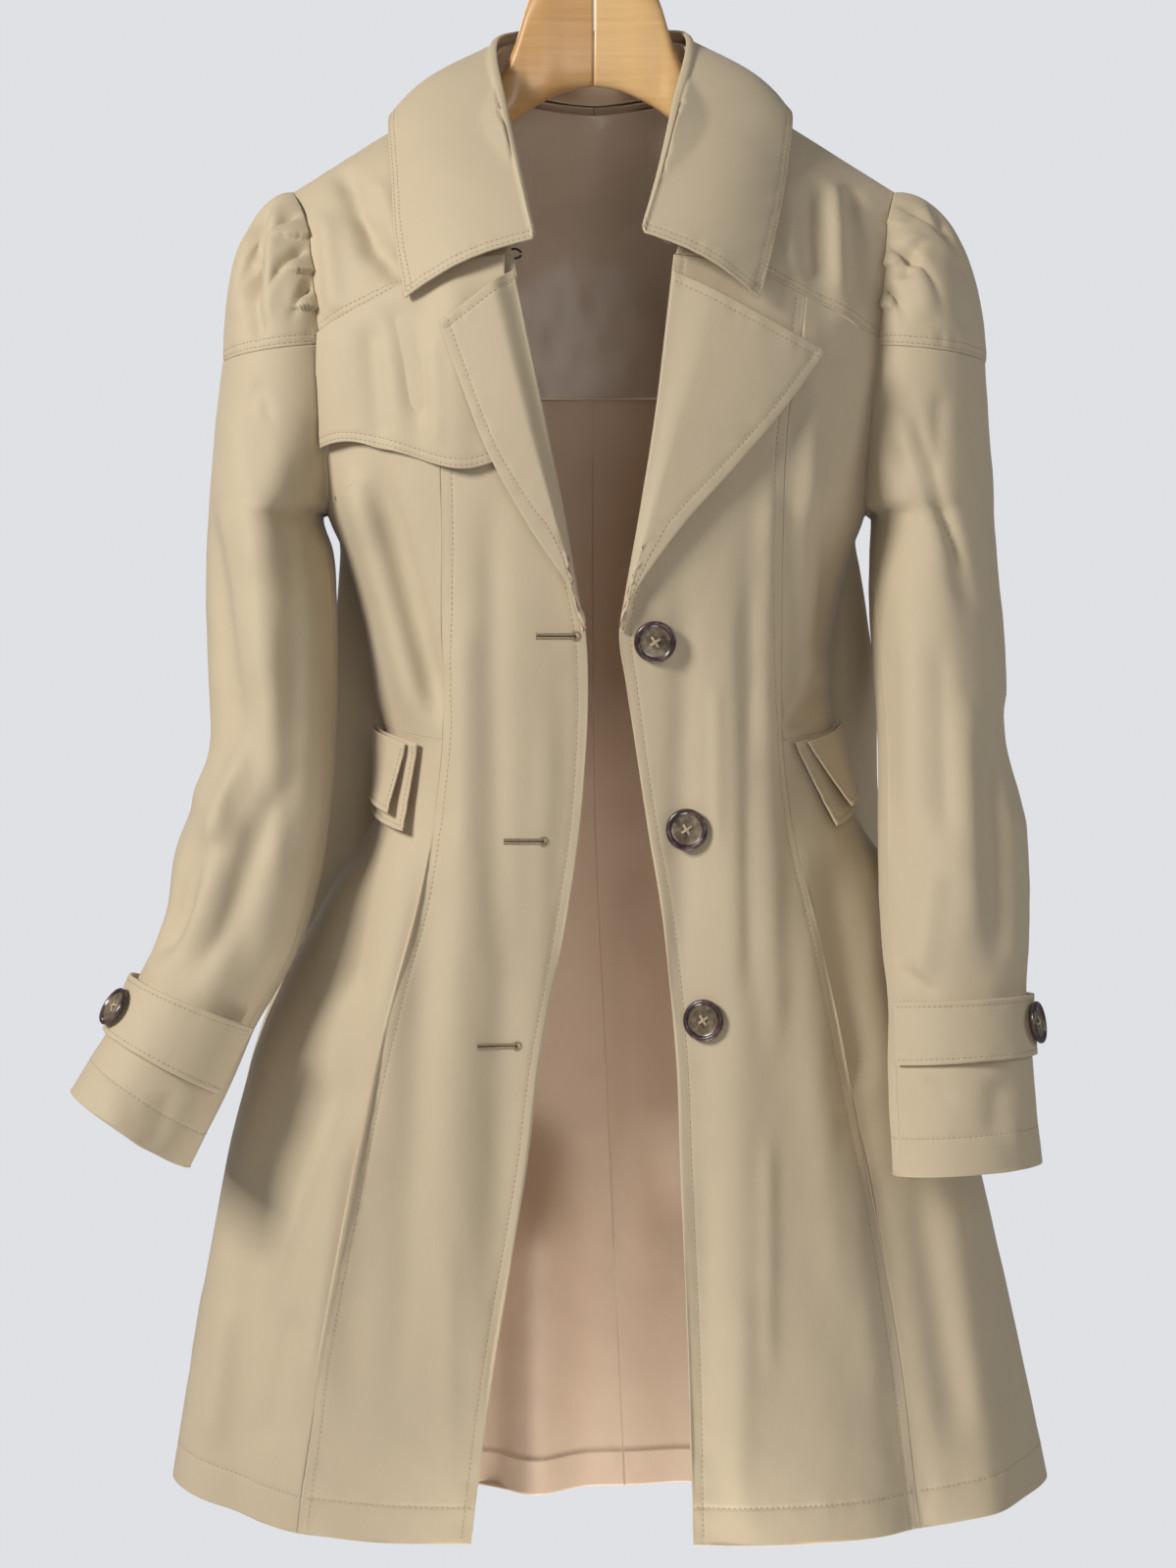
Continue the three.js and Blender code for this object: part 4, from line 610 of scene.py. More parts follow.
def thread_run(line, normals, trim=2.0):
    """Stitches along a line on the cloth: short threads that dip at both ends."""
    walked = cumulative(line, 0)
    total = walked[-1]
    if total < 2 * trim + THREAD_PITCH:
        return None
    count = int((total - 2 * trim) / THREAD_PITCH)
    starts = trim + (total - 2 * trim - count * THREAD_PITCH) / 2 + np.arange(count) * THREAD_PITCH
    verts = []
    for share, radius, sink in ((0, 0.1, 0.3), (0.25, 1, 0), (0.75, 1, 0), (1, 0.1, 0.3)):
        at = starts + share * THREAD_LENGTH
        middle = np.stack([np.interp(at, walked, line[:, k]) for k in range(3)], axis=1)
        normal = unit(np.stack([np.interp(at, walked, normals[:, k]) for k in range(3)], axis=1))
        ahead = np.stack([np.interp(at + 0.5, walked, line[:, k]) for k in range(3)], axis=1)
        behind = np.stack([np.interp(at - 0.5, walked, line[:, k]) for k in range(3)], axis=1)
        side = unit(np.cross(normal, unit(ahead - behind)))
        middle = middle + normal * (THREAD_RADIUS * 0.5 - sink)
        for angle in (0, 0.5 * math.pi, math.pi, 1.5 * math.pi):
            turned = side * math.cos(angle) + normal * math.sin(angle)
            verts.append(middle + turned * THREAD_RADIUS * radius)
    verts = np.stack(verts, axis=1).reshape(-1, 3)
    faces = (STITCH_FACES[None] + np.arange(count)[:, None, None] * 16).reshape(-1, 4)
    return verts, faces


def join_runs(runs):
    verts, faces, count = [], [], 0
    for run in runs:
        if run is not None:
            verts.append(run[0])
            faces.append(run[1] + count)
            count += len(run[0])
    return np.concatenate(verts), np.concatenate(faces)


# Materials
class Nodes:
    """A short way to add and link shader nodes."""

    def __init__(self, material):
        self.tree = material.node_tree
        self.tree.nodes.clear()

    def add(self, kind, inputs=None, **settings):
        node = self.tree.nodes.new(kind)
        for key, value in settings.items():
            setattr(node, key, value)
        for key, value in (inputs or {}).items():
            if isinstance(value, bpy.types.NodeSocket):
                self.tree.links.new(value, node.inputs[key])
            else:
                node.inputs[key].default_value = value
        return node

    def math(self, operation, a, b=0.0, c=0.0):
        return self.add("ShaderNodeMath", {0: a, 1: b, 2: c}, operation=operation).outputs[0]

    def noise(self, vector, scale, detail=3.0, roughness=0.5):
        inputs = {"Vector": vector, "Scale": scale, "Detail": detail, "Roughness": roughness}
        return self.add("ShaderNodeTexNoise", inputs).outputs["Fac"]

    def ramp(self, factor, stops):
        node = self.add("ShaderNodeValToRGB", {"Fac": factor})
        ramp = node.color_ramp
        while len(ramp.elements) < len(stops):
            ramp.elements.new(0.5)
        for element, (place, color) in zip(ramp.elements, stops):
            element.position = place
            element.color = (*color, 1)
        return node.outputs["Color"]

    def scaled(self, vector, scale):
        return self.add("ShaderNodeMapping", {"Vector": vector, "Scale": scale}).outputs["Vector"]

    def bump(self, height, strength, distance, normal=None):
        inputs = {"Height": height, "Strength": strength, "Distance": distance}
        if normal is not None:
            inputs["Normal"] = normal
        return self.add("ShaderNodeBump", inputs).outputs["Normal"]

    def finish(self, **inputs):
        named = {key.replace("_", " "): value for key, value in inputs.items()}
        shader = self.add("ShaderNodeBsdfPrincipled", named)
        out = self.add("ShaderNodeOutputMaterial", {"Surface": shader.outputs["BSDF"]})
        return out


def new_material(name):
    material = bpy.data.materials.new(name)
    material.use_nodes = True
    return material, Nodes(material)


def shade(color, by):
    return tuple(min(1.0, c * by) for c in color)


def cloth_material(name, color, roughness, sheen, twill_pitch=0.0007, specular=0.35, contrast=0.06):
    """Twill: fine diagonal ribs, slight slubs, and a soft uneven tone."""
    material, n = new_material(name)
    uv = n.add("ShaderNodeUVMap", uv_map="UVMap").outputs["UV"]
    part = n.add("ShaderNodeSeparateXYZ", {"Vector": uv})
    across, along = part.outputs["X"], part.outputs["Y"]
    turned = n.math("MULTIPLY_ADD", along, 0.5, n.math("MULTIPLY", across, 0.866))
    rib = n.math("SINE", n.math("MULTIPLY", turned, 2 * math.pi / twill_pitch))
    pick = n.math("SINE", n.math("MULTIPLY", along, 2 * math.pi / (twill_pitch * 0.6)))
    weave = n.math("MULTIPLY_ADD", pick, 0.3, rib)
    slub = n.noise(n.scaled(uv, (900, 90, 1)), 1.0, 2.0)
    cloud = n.noise(n.scaled(uv, (14, 9, 1)), 1.0, 3.0)
    patches = n.math("MULTIPLY_ADD", slub, 0.35, n.math("MULTIPLY", cloud, 0.65))
    tone = n.math("MULTIPLY_ADD", weave, 0.10, patches)
    base = n.ramp(tone, ((0.2, shade(color, 1 - contrast)), (0.8, shade(color, 1 + contrast))))
    dent = n.noise(n.scaled(uv, (60, 45, 1)), 1.0, 4.0)
    soft = n.bump(dent, 0.12, 0.0012)
    normal = n.bump(weave, 0.10, 0.00008, soft)
    rough = n.math("MULTIPLY_ADD", cloud, 0.10, roughness - 0.05)
    n.finish(Base_Color=base, Roughness=rough, Normal=normal, Sheen_Weight=sheen, Sheen_Roughness=0.45,
             Specular_IOR_Level=specular)
    return material


def satin_material(name, color):
    material, n = new_material(name)
    uv = n.add("ShaderNodeUVMap", uv_map="UVMap").outputs["UV"]
    thread = n.noise(n.scaled(uv, (4200, 60, 1)), 1.0, 2.0)
    cloud = n.noise(n.scaled(uv, (12, 20, 1)), 1.0, 3.0)
    tone = n.math("MULTIPLY_ADD", thread, 0.3, n.math("MULTIPLY", cloud, 0.7))
    base = n.ramp(tone, ((0.25, shade(color, 0.86)), (0.75, shade(color, 1.14))))
    normal = n.bump(thread, 0.08, 0.00006)
    n.finish(Base_Color=base, Roughness=0.33, Normal=normal, Sheen_Weight=0.1, Anisotropic=0.4,
             Specular_IOR_Level=0.5)
    return material


def wood_material(name, light, dark):
    """Lacquered beech: long grain lines, fine pores and a slow change of tone."""
    material, n = new_material(name)
    place = n.add("ShaderNodeTexCoord").outputs["Object"]
    bend = n.noise(n.scaled(place, (5, 3, 9)), 1.0, 2.0)
    rings = n.noise(n.scaled(place, (16, 40, 260)), 1.0, 4.0, 0.55)
    pores = n.noise(n.scaled(place, (180, 500, 2600)), 1.0, 2.0)
    slow = n.math("MULTIPLY_ADD", bend, 0.5, n.math("MULTIPLY", rings, 0.5))
    tone = n.math("MULTIPLY_ADD", pores, 0.14, n.math("MULTIPLY", slow, 0.86))
    between = tuple(mix(np.array(dark), np.array(light), 0.6))
    base = n.ramp(tone, ((0.3, dark), (0.52, between), (0.72, light)))
    normal = n.bump(pores, 0.06, 0.0001)
    rough = n.math("MULTIPLY_ADD", rings, 0.12, 0.30)
    n.finish(Base_Color=base, Roughness=rough, Normal=normal, Coat_Weight=0.25, Coat_Roughness=0.2)
    return material


def horn_material(name, dark, middle, light):
    material, n = new_material(name)
    place = n.add("ShaderNodeTexCoord").outputs["Object"]
    cloud = n.noise(n.scaled(place, (90, 90, 90)), 1.0, 4.0, 0.6)
    fleck = n.noise(n.scaled(place, (340, 260, 300)), 1.0, 3.0)
    tone = n.math("MULTIPLY_ADD", fleck, 0.35, n.math("MULTIPLY", cloud, 0.65))
    base = n.ramp(tone, ((0.36, dark), (0.5, middle), (0.64, light)))
    normal = n.bump(fleck, 0.05, 0.0001)
    n.finish(Base_Color=base, Roughness=0.28, Normal=normal, Coat_Weight=0.4, Coat_Roughness=0.12)
    return material


def steel_material(name):
    material, n = new_material(name)
    place = n.add("ShaderNodeTexCoord").outputs["Object"]
    scratch = n.noise(n.scaled(place, (600, 600, 60)), 1.0, 3.0)
    rough = n.math("MULTIPLY_ADD", scratch, 0.12, 0.14)
    base = n.ramp(scratch, ((0.2, (0.55, 0.55, 0.56)), (0.8, (0.68, 0.68, 0.69))))
    n.finish(Base_Color=base, Metallic=1.0, Roughness=rough, Normal=n.bump(scratch, 0.04, 0.0001))
    return material


def plain_material(name, color, roughness):
    material, n = new_material(name)
    n.finish(Base_Color=(*color, 1), Roughness=roughness)
    return material


GABARDINE_COLOR = (0.52, 0.425, 0.287)
GABARDINE = cloth_material("gabardine", GABARDINE_COLOR, 0.64, 0.2, specular=0.26)
# Reverse face: the cloth's paler wrong side, lightened further as painted light so that the inside of the coat reads
# as lit.
GABARDINE_REVERSE_PAINTED_LIGHT = cloth_material("gabardine_reverse_painted_light", (0.62, 0.475, 0.345), 0.5, 0.14, specular=0.35)
SATIN = satin_material("satin_lining", (0.50, 0.40, 0.30))
THREAD = cloth_material("sewing_thread", (0.44, 0.345, 0.21), 0.55, 0.2, 0.0004)
DARK_THREAD = cloth_material("buttonhole_thread", (0.33, 0.25, 0.15), 0.6, 0.2, 0.0004)
WOOD_RIGHT = wood_material("beech_right", (0.63, 0.37, 0.145), (0.44, 0.22, 0.075))
WOOD_LEFT = wood_material("beech_left", (0.80, 0.52, 0.235), (0.62, 0.37, 0.145))
HORN = horn_material("horn", (0.012, 0.007, 0.008), (0.045, 0.022, 0.022), (0.15, 0.09, 0.075))
HORN_DISH = horn_material("horn_dish", (0.05, 0.035, 0.022), (0.14, 0.105, 0.065), (0.30, 0.24, 0.16))
STEEL = steel_material("hook_steel")
DARK_METAL = plain_material("clasp_metal", (0.02, 0.016, 0.014), 0.35)
SLIT_SHADE = plain_material("slit_shade", (0.06, 0.04, 0.025), 0.9)


# Panels
WALL = 1.0
GRID_SCALE = 1.5
GROOVE_DEPTH = 0.3
GROOVE_WIDTH = 0.6
PUCKER_REACH = 5.0
PANELS = {}


def add_piece(obj, node=None):
    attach(obj, "root")
    if node:
        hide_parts(node)
    return obj


def add_stitches(name, runs, material=THREAD):
    runs = [run for run in runs if run is not None]
    if not runs:
        return None
    verts, faces = join_runs(runs)
    uv = verts[:, [0, 2]] * MM
    return add_piece(new_mesh(name, verts, faces, uv=uv, materials=(material,)))


def make_panel(name, point, inside, step_u=3.0, step_v=4.0, wall=WALL, steps=None, relief=None, stitches=(),
               materials=None, hem=None,
               pucker=0.2):
    """One cut piece of cloth as a thin closed sheet, with its stitching, over the solid of the same name."""
    edge_steps = {key: EDGE_STEPS for key in LINES_BY_EDGE}
    edge_steps.update(steps or {})
    u, v, edge = lay_grid(point, step_u * GRID_SCALE, step_v * GRID_SCALE, edge_steps)
    points = point(u, v)
    normals = grid_normals(points)
    middle = tuple(s // 2 for s in points.shape[:2])
    outward = points[middle] - np.asarray(inside(points[middle]), float)
    flip = np.dot(normals[middle], outward) < 0
    if flip:
        normals = -normals
    nearest = np.minimum(np.minimum(edge["u0"], edge["u1"]), np.minimum(edge["v0"], edge["v1"]))
    height = np.zeros(u.shape)
    for key, distances in stitches:
        for distance in distances:
            height -= GROOVE_DEPTH * np.exp(-(((edge[key] - distance) / GROOVE_WIDTH) ** 2))
        other = "v0" if key[0] == "u" else "u0"
        waves = np.sin(edge[other] / 2.3 + 1.7 * np.sin(edge[other] / 7.0))
        waves = waves + 0.7 * np.sin(edge[other] / 4.1 + 1)
        height += pucker * waves * np.exp(-(((edge[key] - distances[-1]) / PUCKER_REACH) ** 2))
    if relief is not None:
        height += relief(points, u, v, edge)
    settle = smooth(nearest / 1.2)
    points = points + normals * (height * settle)[..., None]
    normals = grid_normals(points) * (-1 if flip else 1)
    thickness = np.full(u.shape, float(wall))
    if hem:
        thickness = thickness + 0.8 * smooth((hem + 0.6 - edge["v1"]) / 1.0)
    share = np.clip(nearest / (thickness * 0.5), 0, 1)
    rounded = thickness * np.sqrt(np.maximum(1 - (1 - share) ** 2, 0.01))
    outer = points - normals * ((wall - np.minimum(rounded, wall)) / 2)[..., None]
    inner = outer - normals * rounded[..., None]
    verts, quads, slots = shell(outer, inner, not flip)
    length_u, length_v = edge["u0"] + edge["u1"], edge["v0"] + edge["v1"]
    flat_uv = np.stack([edge["u0"] - length_u / 2, -edge["v0"]], axis=-1).reshape(-1, 2) * MM
    uv = np.concatenate([flat_uv, flat_uv])
    both_faces = materials or (GABARDINE, GABARDINE_REVERSE_PAINTED_LIGHT)
    obj = new_mesh(name + "_cloth", verts, quads, uv=uv, slots=slots, materials=both_faces)
    add_piece(obj, name)
    runs = []
    for key, distances in stitches:
        for distance in distances:
            where = np.argmin(np.abs(np.array(edge_steps[key]) - distance))
            if key == "u0":
                runs.append(thread_run(outer[:, where], normals[:, where]))
            elif key == "u1":
                runs.append(thread_run(outer[:, -1 - where], normals[:, -1 - where]))
            elif key == "v0":
                runs.append(thread_run(outer[where], normals[where]))
            else:
                runs.append(thread_run(outer[-1 - where], normals[-1 - where]))
    sewn = add_stitches(name + "_stitching", runs)
    PANELS[name] = {"outer": outer, "normals": normals}


def front_line(line, side, z):
    return read(FRONT_LINES, "z", line + "_" + side, z)


def yoke_seam_z(x):
    return read(YOKE_SEAM, "x", "z", np.abs(x))


def hem_z(turn):
    aside = np.abs(np.sin(turn)) ** 3
    return mix(np.where(np.cos(turn) > 0, HEM_FRONT_Z, HEM_BACK_Z), HEM_SIDE_Z, aside)


def axis_inside(p):
    return (0, 0, p[2])


WAIST_SHARE = 10 / 19
UNDERARM_SHARE = 0.4


def centre_front_point(side):
    seam_top = yoke_seam_z(front_line("seam", side, -280))
    edge_top = yoke_seam_z(front_line("edge", side, -262))

    def point(u, v):
        top = mix(edge_top, seam_top, u ** 1.5)
        below = np.clip((v - WAIST_SHARE) / (1 - WAIST_SHARE), 0, 1)
        above_seam = mix(top, WAIST_SEAM_Z, v / WAIST_SHARE)
        z = np.where(v < WAIST_SHARE, above_seam, mix(WAIST_SEAM_Z, hem_z(0), below))
        turn = turn_at(mix(front_line("edge", side, z), front_line("seam", side, z), u), z)
        return body_point(turn, z + (hem_z(turn) - hem_z(0)) * below)
    return point


def waist_z(share):
    return mix(WAIST_SEAM_Z, WAIST_SIDE_Z, share)


def side_front_point(side):
    arm_top = yoke_seam_z(read(ARMHOLE, "z", side, -307))
    seam_top = yoke_seam_z(front_line("seam", side, -280))

    def point(u, v):
        seam_z = mix(seam_top, waist_z(0), v)
        side_z = np.where(v < UNDERARM_SHARE, mix(arm_top, UNDERARM_Z, v / UNDERARM_SHARE),
                          mix(UNDERARM_Z, waist_z(1), (v - UNDERARM_SHARE) / (1 - UNDERARM_SHARE)))
        straight = mix(seam_z, side_z, u)
        seam_turn = turn_at(front_line("seam", side, straight), straight)
        turn = mix(seam_turn, armhole_turn(side, side_z, False), u)
        top_z = yoke_seam_z(body_point(turn, straight)[..., 0])
        return body_point(turn, straight + (top_z - mix(seam_top, arm_top, u)) * (1 - v) ** 3)
    return point


def side_skirt_point(side):
    def point(u, v):
        flat_z = mix(waist_z(u), hem_z(0), v)
        turn = mix(turn_at(front_line("seam", side, flat_z), flat_z), SIGN[side] * math.pi / 2, u)
        return body_point(turn, flat_z + (hem_z(turn) - hem_z(0)) * v)
    return point


def front_yoke_point(side):
    arm_foot = yoke_seam_z(read(ARMHOLE, "z", side, -307))

    def point(u, v):
        drop = mix(0.034, 1, v) ** 1.7
        neck_x = read(FRONT_NECK, "z", "x", mix(ridge_height(70.5), -262, drop))
        x = SIGN[side] * mix(neck_x, read(ARMHOLE, "z", side, mix(TIP_Z, arm_foot, drop)), u)
        z = mix(ridge_height(x), yoke_seam_z(x), drop)
        return body_point(turn_at(x, z), z)
    return point


BACK_ARM_ROWS = 8
BACK_SIDE_ROWS = 6
SKIRT_ROWS = 9
BACK_ROWS = BACK_ARM_ROWS + BACK_SIDE_ROWS + SKIRT_ROWS
RIDGE_GAP = 0.4


def back_top(x):
    away = np.abs(x)
    return np.where(away < 70.5, read(BACK_NECK, "x", "z", away), ridge_height(away) - RIDGE_GAP)


def back_side_z(v):
    row = np.asarray(v, float) * BACK_ROWS
    arm = mix(TIP_Z - RIDGE_GAP, UNDERARM_Z, np.clip(row / BACK_ARM_ROWS, 0, 1) ** 1.4)
    side = mix(UNDERARM_Z, WAIST_SIDE_Z, (row - BACK_ARM_ROWS) / BACK_SIDE_ROWS)
    skirt = mix(WAIST_SIDE_Z, HEM_SIDE_Z, (row - BACK_ARM_ROWS - BACK_SIDE_ROWS) / SKIRT_ROWS)
    return np.where(row < BACK_ARM_ROWS, arm, np.where(row < BACK_ARM_ROWS + BACK_SIDE_ROWS, side, skirt))


def back_turn(side, u, side_z, z):
    centre = np.arcsin(read(CENTRE_BACK, "z", "x", z) / read(BODY, "z", "back_left", z))
    edge_turn = np.abs(armhole_turn(side, side_z, True))
    edge = SIGN[side] * np.arcsin(np.clip(np.sin(edge_turn), 0, 1) ** (2 / SQUARENESS))
    share = np.sin(mix(centre, edge, u))
    return math.pi - np.sign(share) * np.arcsin(np.abs(share) ** (SQUARENESS / 2))


def back_point(side):
    def point(u, v):
        side_z = back_side_z(v)
        hem_drop = (hem_z(back_turn(side, u, side_z, side_z)) - HEM_SIDE_Z) * smooth((v - 0.3) / 0.7)
        top_x = np.abs(body_point(back_turn(side, u, back_side_z(0), back_side_z(0)), TIP_Z)[..., 0])
        top_rise = (back_top(top_x) - back_side_z(0)) * (1 - smooth(v * 1.6))
        z = side_z + top_rise + hem_drop
        return body_point(back_turn(side, u, side_z, z), z)
    return point


def neck_lining_point(u, v):
    turn = math.pi + mix(-math.pi / 4, math.pi / 4, u)
    top_x = np.abs(body_point(turn, TIP_Z)[..., 0])
    dip = 3 + 24 * smooth((top_x - 55) / 22)
    return lifted(turn, mix(back_top(top_x) - dip, LINING_HEM_Z, v), -1.5 - 2.2)


def lapel_point(side):
    rows = LAPEL[side]

    def point(u, v):
        at = v * 5
        x = mix(read(rows, "at", "roll_x", at), read(rows, "at", "outer_x", at), u)
        z = mix(read(rows, "at", "roll_z", at), read(rows, "at", "outer_z", at), u)
        taper = 1 - smooth((v - 0.72) / 0.28) * 0.5
        lift = mix(LAPEL_ROLL_LIFT, LAPEL_LIFT[side], smooth(u / 0.3))
        return lifted(turn_at(x, z), z, lift * taper)
    return point


def storm_flap_point(u, v):
    x = mix(-52, -163, u)
    z = mix(yoke_seam_z(x) - 1, read(STORM_FLAP, "x", "z", x), v)
    arm_x = -read(ARMHOLE, "z", "right", z) + 1.5
    fold = fold_height(FLAP_FOLDS, x, z)
    return lifted(turn_at(np.maximum(x, arm_x), z), z, mix(FLAP_TOP_LIFT, FLAP_LIFT, v) + fold)


# Collar
NECK_MIDDLE_Y = -18
COLLAR_LAST = 12
COLLAR["neck_y"] = on_body(COLLAR["neck_x"], COLLAR["neck_z"], COLLAR["face"])[..., 1]
COLLAR["edge_y"] = on_body(COLLAR["edge_x"], COLLAR["edge_z"], COLLAR["face"])[..., 1]
COLLAR["edge_y"] = COLLAR["edge_y"] + COLLAR["face"] * LEAF_LIFT


def collar_line(kind, along):
    at = along * COLLAR_LAST
    return stack(*(read(COLLAR, "at", f"{kind}_{axis}", at) for axis in "xyz"))


def away_from_neck(p):
    flat = p * (1, 1, 0) - (0, NECK_MIDDLE_Y, 0)
    return unit(flat)


def clear_of_body(p, gap):
    x, y, z = p[..., 0], p[..., 1], p[..., 2]
    half = by_side(x >= 0, BODY, "front", z)
    face = np.where(y < 0, -1, 1)
    under = on_body(x, z, face)[..., 1]
    held_y = np.where(face < 0, np.minimum(y, under - gap), np.maximum(y, under + gap))
    free = (z > ridge_height(x) - 1) | (np.abs(x) > half)
    return stack(x, np.where(free, y, held_y), z)


LEAF_TURN = 0.16


def leaf_roll(u, share):
    roll = collar_line("roll", u)
    away = away_from_neck(roll)
    angle = mix(-math.pi * 0.25, math.pi * 0.6, share)
    out = ROLL_RADIUS * np.sin(angle)
    up = ROLL_RADIUS * np.cos(angle) - ROLL_RADIUS
    return stack(roll[..., 0] + away[..., 0] * out, roll[..., 1] + away[..., 1] * out, roll[..., 2] + up)


def leaf_point(u, v):
    fall = np.clip((v - LEAF_TURN) / (1 - LEAF_TURN), 0, 1)
    start = leaf_roll(u, 1.0)
    away = away_from_neck(collar_line("roll", u))
    p = mix(start, collar_line("edge", u), fall[..., None])
    swell = LEAF_CROWN * np.sin(math.pi * fall)
    p = p + away * swell[..., None] + stack(0, 0, swell * 0.5)
    p = clear_of_body(p, LEAF_LIFT)
    return np.where((v < LEAF_TURN)[..., None], leaf_roll(u, v / LEAF_TURN), p)


def collar_stand_point(u, v):
    along = mix(0.012, 0.988, u)
    neck, roll = collar_line("neck", along), collar_line("roll", along)
    foot = neck - away_from_neck(neck) * STAND_INSET
    top = roll - away_from_neck(roll) * 0.4 - (0, 0, STAND_TOP_DROP)
    return mix(foot, top, v[..., None])


# Sleeves
def sleeve_section(side, z):
    cell = {key: read(SLEEVE[side], "z", key, z) for key in ("outer", "inner", "y", "depth", "raise")}
    front = body_point(armhole_turn(side, z, False), z)
    back = body_point(armhole_turn(side, z, True), z)
    arm_x = np.abs(front[..., 0]) - SEAM_TUCK
    is_open = z > UNDERARM_Z
    half_gap = np.clip((back[..., 1] - front[..., 1]) / 2 / cell["depth"], 0, 1)
    cell["open"] = np.where(is_open, np.arcsin(half_gap), 0)
    cell["y"] = np.where(is_open, (front[..., 1] + back[..., 1]) / 2, cell["y"])
    open_half = (cell["outer"] - arm_x) / (1 + np.cos(cell["open"]))
    cell["half"] = np.where(is_open, open_half, (cell["outer"] - cell["inner"]) / 2)
    cell["x"] = cell["outer"] - cell["half"]
    return cell


def sleeve_point(side, turn, z, lift=0.0):
    section = sleeve_section(side, z)
    push = fold_height(SLEEVE_FOLDS[side], np.degrees(turn), z) + lift
    x = section["x"] + (section["half"] + push) * np.cos(turn)
    y = section["y"] - (section["depth"] + push) * np.sin(turn)
    return stack(SIGN[side] * x, y, z + section["raise"] * np.cos(turn))


def sleeve_reach(side, z):
    return math.pi - sleeve_section(side, np.asarray(z, float))["open"]


def sleeve_inside(side):
    def inside(p):
        section = sleeve_section(side, np.asarray(p[2], float))
        return (SIGN[side] * float(section["x"]), float(section["y"]), p[2])
    return inside


def cap_seam_z(turn):
    return -313 - CAP_SEAM_DROP * np.cos(turn) * 0.5


def under_sleeve_top(side, turn):
    turn = np.asarray(turn, float)
    high, low = np.full(turn.shape, CAP_ARM_Z - 30.0), np.full(turn.shape, UNDERARM_Z - 1.5)
    for _ in range(24):
        middle = (high + low) / 2
        too_high = sleeve_reach(side, middle) < turn
        high, low = np.where(too_high, middle, high), np.where(too_high, low, middle)
    return low


JOIN_SHARE = 3 / 15


def sleeve_foot(side):
    return SLEEVE[side]["z"][-1]


def top_sleeve_point(side):
    front, back = SEAM_TURN["front"], SEAM_TURN["back"]
    join_front = float(under_sleeve_top(side, front))
    join_back = float(under_sleeve_top(side, back))

    def point(u, v):
        join_z = mix(join_front, join_back, smooth(u))
        z = np.where(v < JOIN_SHARE, mix(cap_seam_z(2 - 4 * u), join_z, v / JOIN_SHARE),
                     mix(join_z, sleeve_foot(side), (v - JOIN_SHARE) / (1 - JOIN_SHARE)))
        reach = sleeve_reach(side, z)
        return sleeve_point(side, mix(np.minimum(reach, front), -np.minimum(reach, back), u), z)
    return point


def under_sleeve_point(side):
    def point(u, v):
        turn = mix(SEAM_TURN["front"], 2 * math.pi - SEAM_TURN["back"], u)
        top = under_sleeve_top(side, math.pi - np.abs(math.pi - turn))
        return sleeve_point(side, turn, mix(top, sleeve_foot(side), v))
    return point


def cap_point(side):
    def point(u, v):
        around = 1 - 2 * u
        share = np.abs(around)
        arm_z = mix(TIP_Z, CAP_ARM_Z, share ** 1.3)
        arm = body_point(armhole_turn(side, arm_z, around < 0), arm_z) - (SIGN[side] * SEAM_TUCK, 0, 0)
        seam_turn = around * np.minimum(sleeve_reach(side, -313.0), math.pi)
        seam_z = cap_seam_z(around * 2)
        seam = sleeve_point(side, around * sleeve_reach(side, seam_z), seam_z)
        out, down = np.sin(v * math.pi / 2), 1 - np.cos(v * math.pi / 2)
        pleat = 0
        for place in PLEATS[side]:
            pleat = pleat - PLEAT_DEPTH * np.exp(-(((share - place) / PLEAT_WIDTH) ** 2))
        puff = CAP_PUFF * (1 - share ** 2) * np.sin(math.pi * v) ** 0.7 * (1 - v * 0.35)
        swell = puff + pleat * smooth(v / PLEAT_RISE) * (1 - smooth(v / PLEAT_REACH))
        x, y = mix(arm[..., 0], seam[..., 0], out), mix(arm[..., 1], seam[..., 1], out)
        outward = unit(stack(SIGN[side] * np.cos(seam_turn) * 0.5, -np.sin(seam_turn), 0.8))
        return stack(x, y, mix(arm[..., 2], seam[..., 2], down)) + outward * swell[..., None]
    return point


def strap_point(side):
    z, lift, start, end = STRAPS[side]

    def point(u, v):
        turn = np.radians(mix(start, end, u))
        return sleeve_point(side, turn, z - STRAP_HEIGHT * v, mix(lift, STRAP_FOOT_LIFT, v))
    return point


def pocket_flap_point(side, top_x, foot_x, foot_z, lift, flare):
    def point(u, v):
        z = mix(waist_z(u) - POCKET_TOP_GAP, foot_z + POCKET_FOOT_RISE * u, v)
        turn = mix(turn_at(mix(top_x, foot_x, v), z), SIGN[side] * POCKET_END_TURN, u)
        return lifted(turn, z, lift + flare * v * (1 - u) + POCKET_END_LIFT * u)
    return point


# Relief that is finer than the solids
def uneven(points, seed, amount, length):
    along, down = points[..., 0] + points[..., 1], points[..., 2]
    broad = ripples(along, down * 0.45, length, seed)
    small = ripples(along, down * 0.7, length * 0.36, seed + 7)
    return amount * (broad + 0.3 * small)


def soft_relief(seed, amount=0.5, length=70, front=None, back=None):
    def relief(points, u, v, edge):
        x, y, z = points[..., 0], points[..., 1], points[..., 2]
        height = uneven(points, seed, amount, length)
        if front is not None:
            height += fold_height(front, x, z) * smooth(-y / 12)
        if back is not None:
            height += fold_height(back, x, z) * smooth(y / 12)
        return height
    return relief


def sleeve_relief(side, seed, folds, amount=0.5):
    def relief(points, u, v, edge):
        section = sleeve_section(side, points[..., 2])
        x, z = points[..., 0], points[..., 2]
        ahead = section["y"] - points[..., 1]
        front = fold_height(folds, x, z) * smooth(ahead / 14)
        mirrored = 2 * SIGN[side] * section["x"] - x
        behind = fold_height(folds, mirrored, z + 22) * smooth(-ahead / 14)
        return uneven(points, seed, amount, 60) + front + 0.8 * behind
    return relief


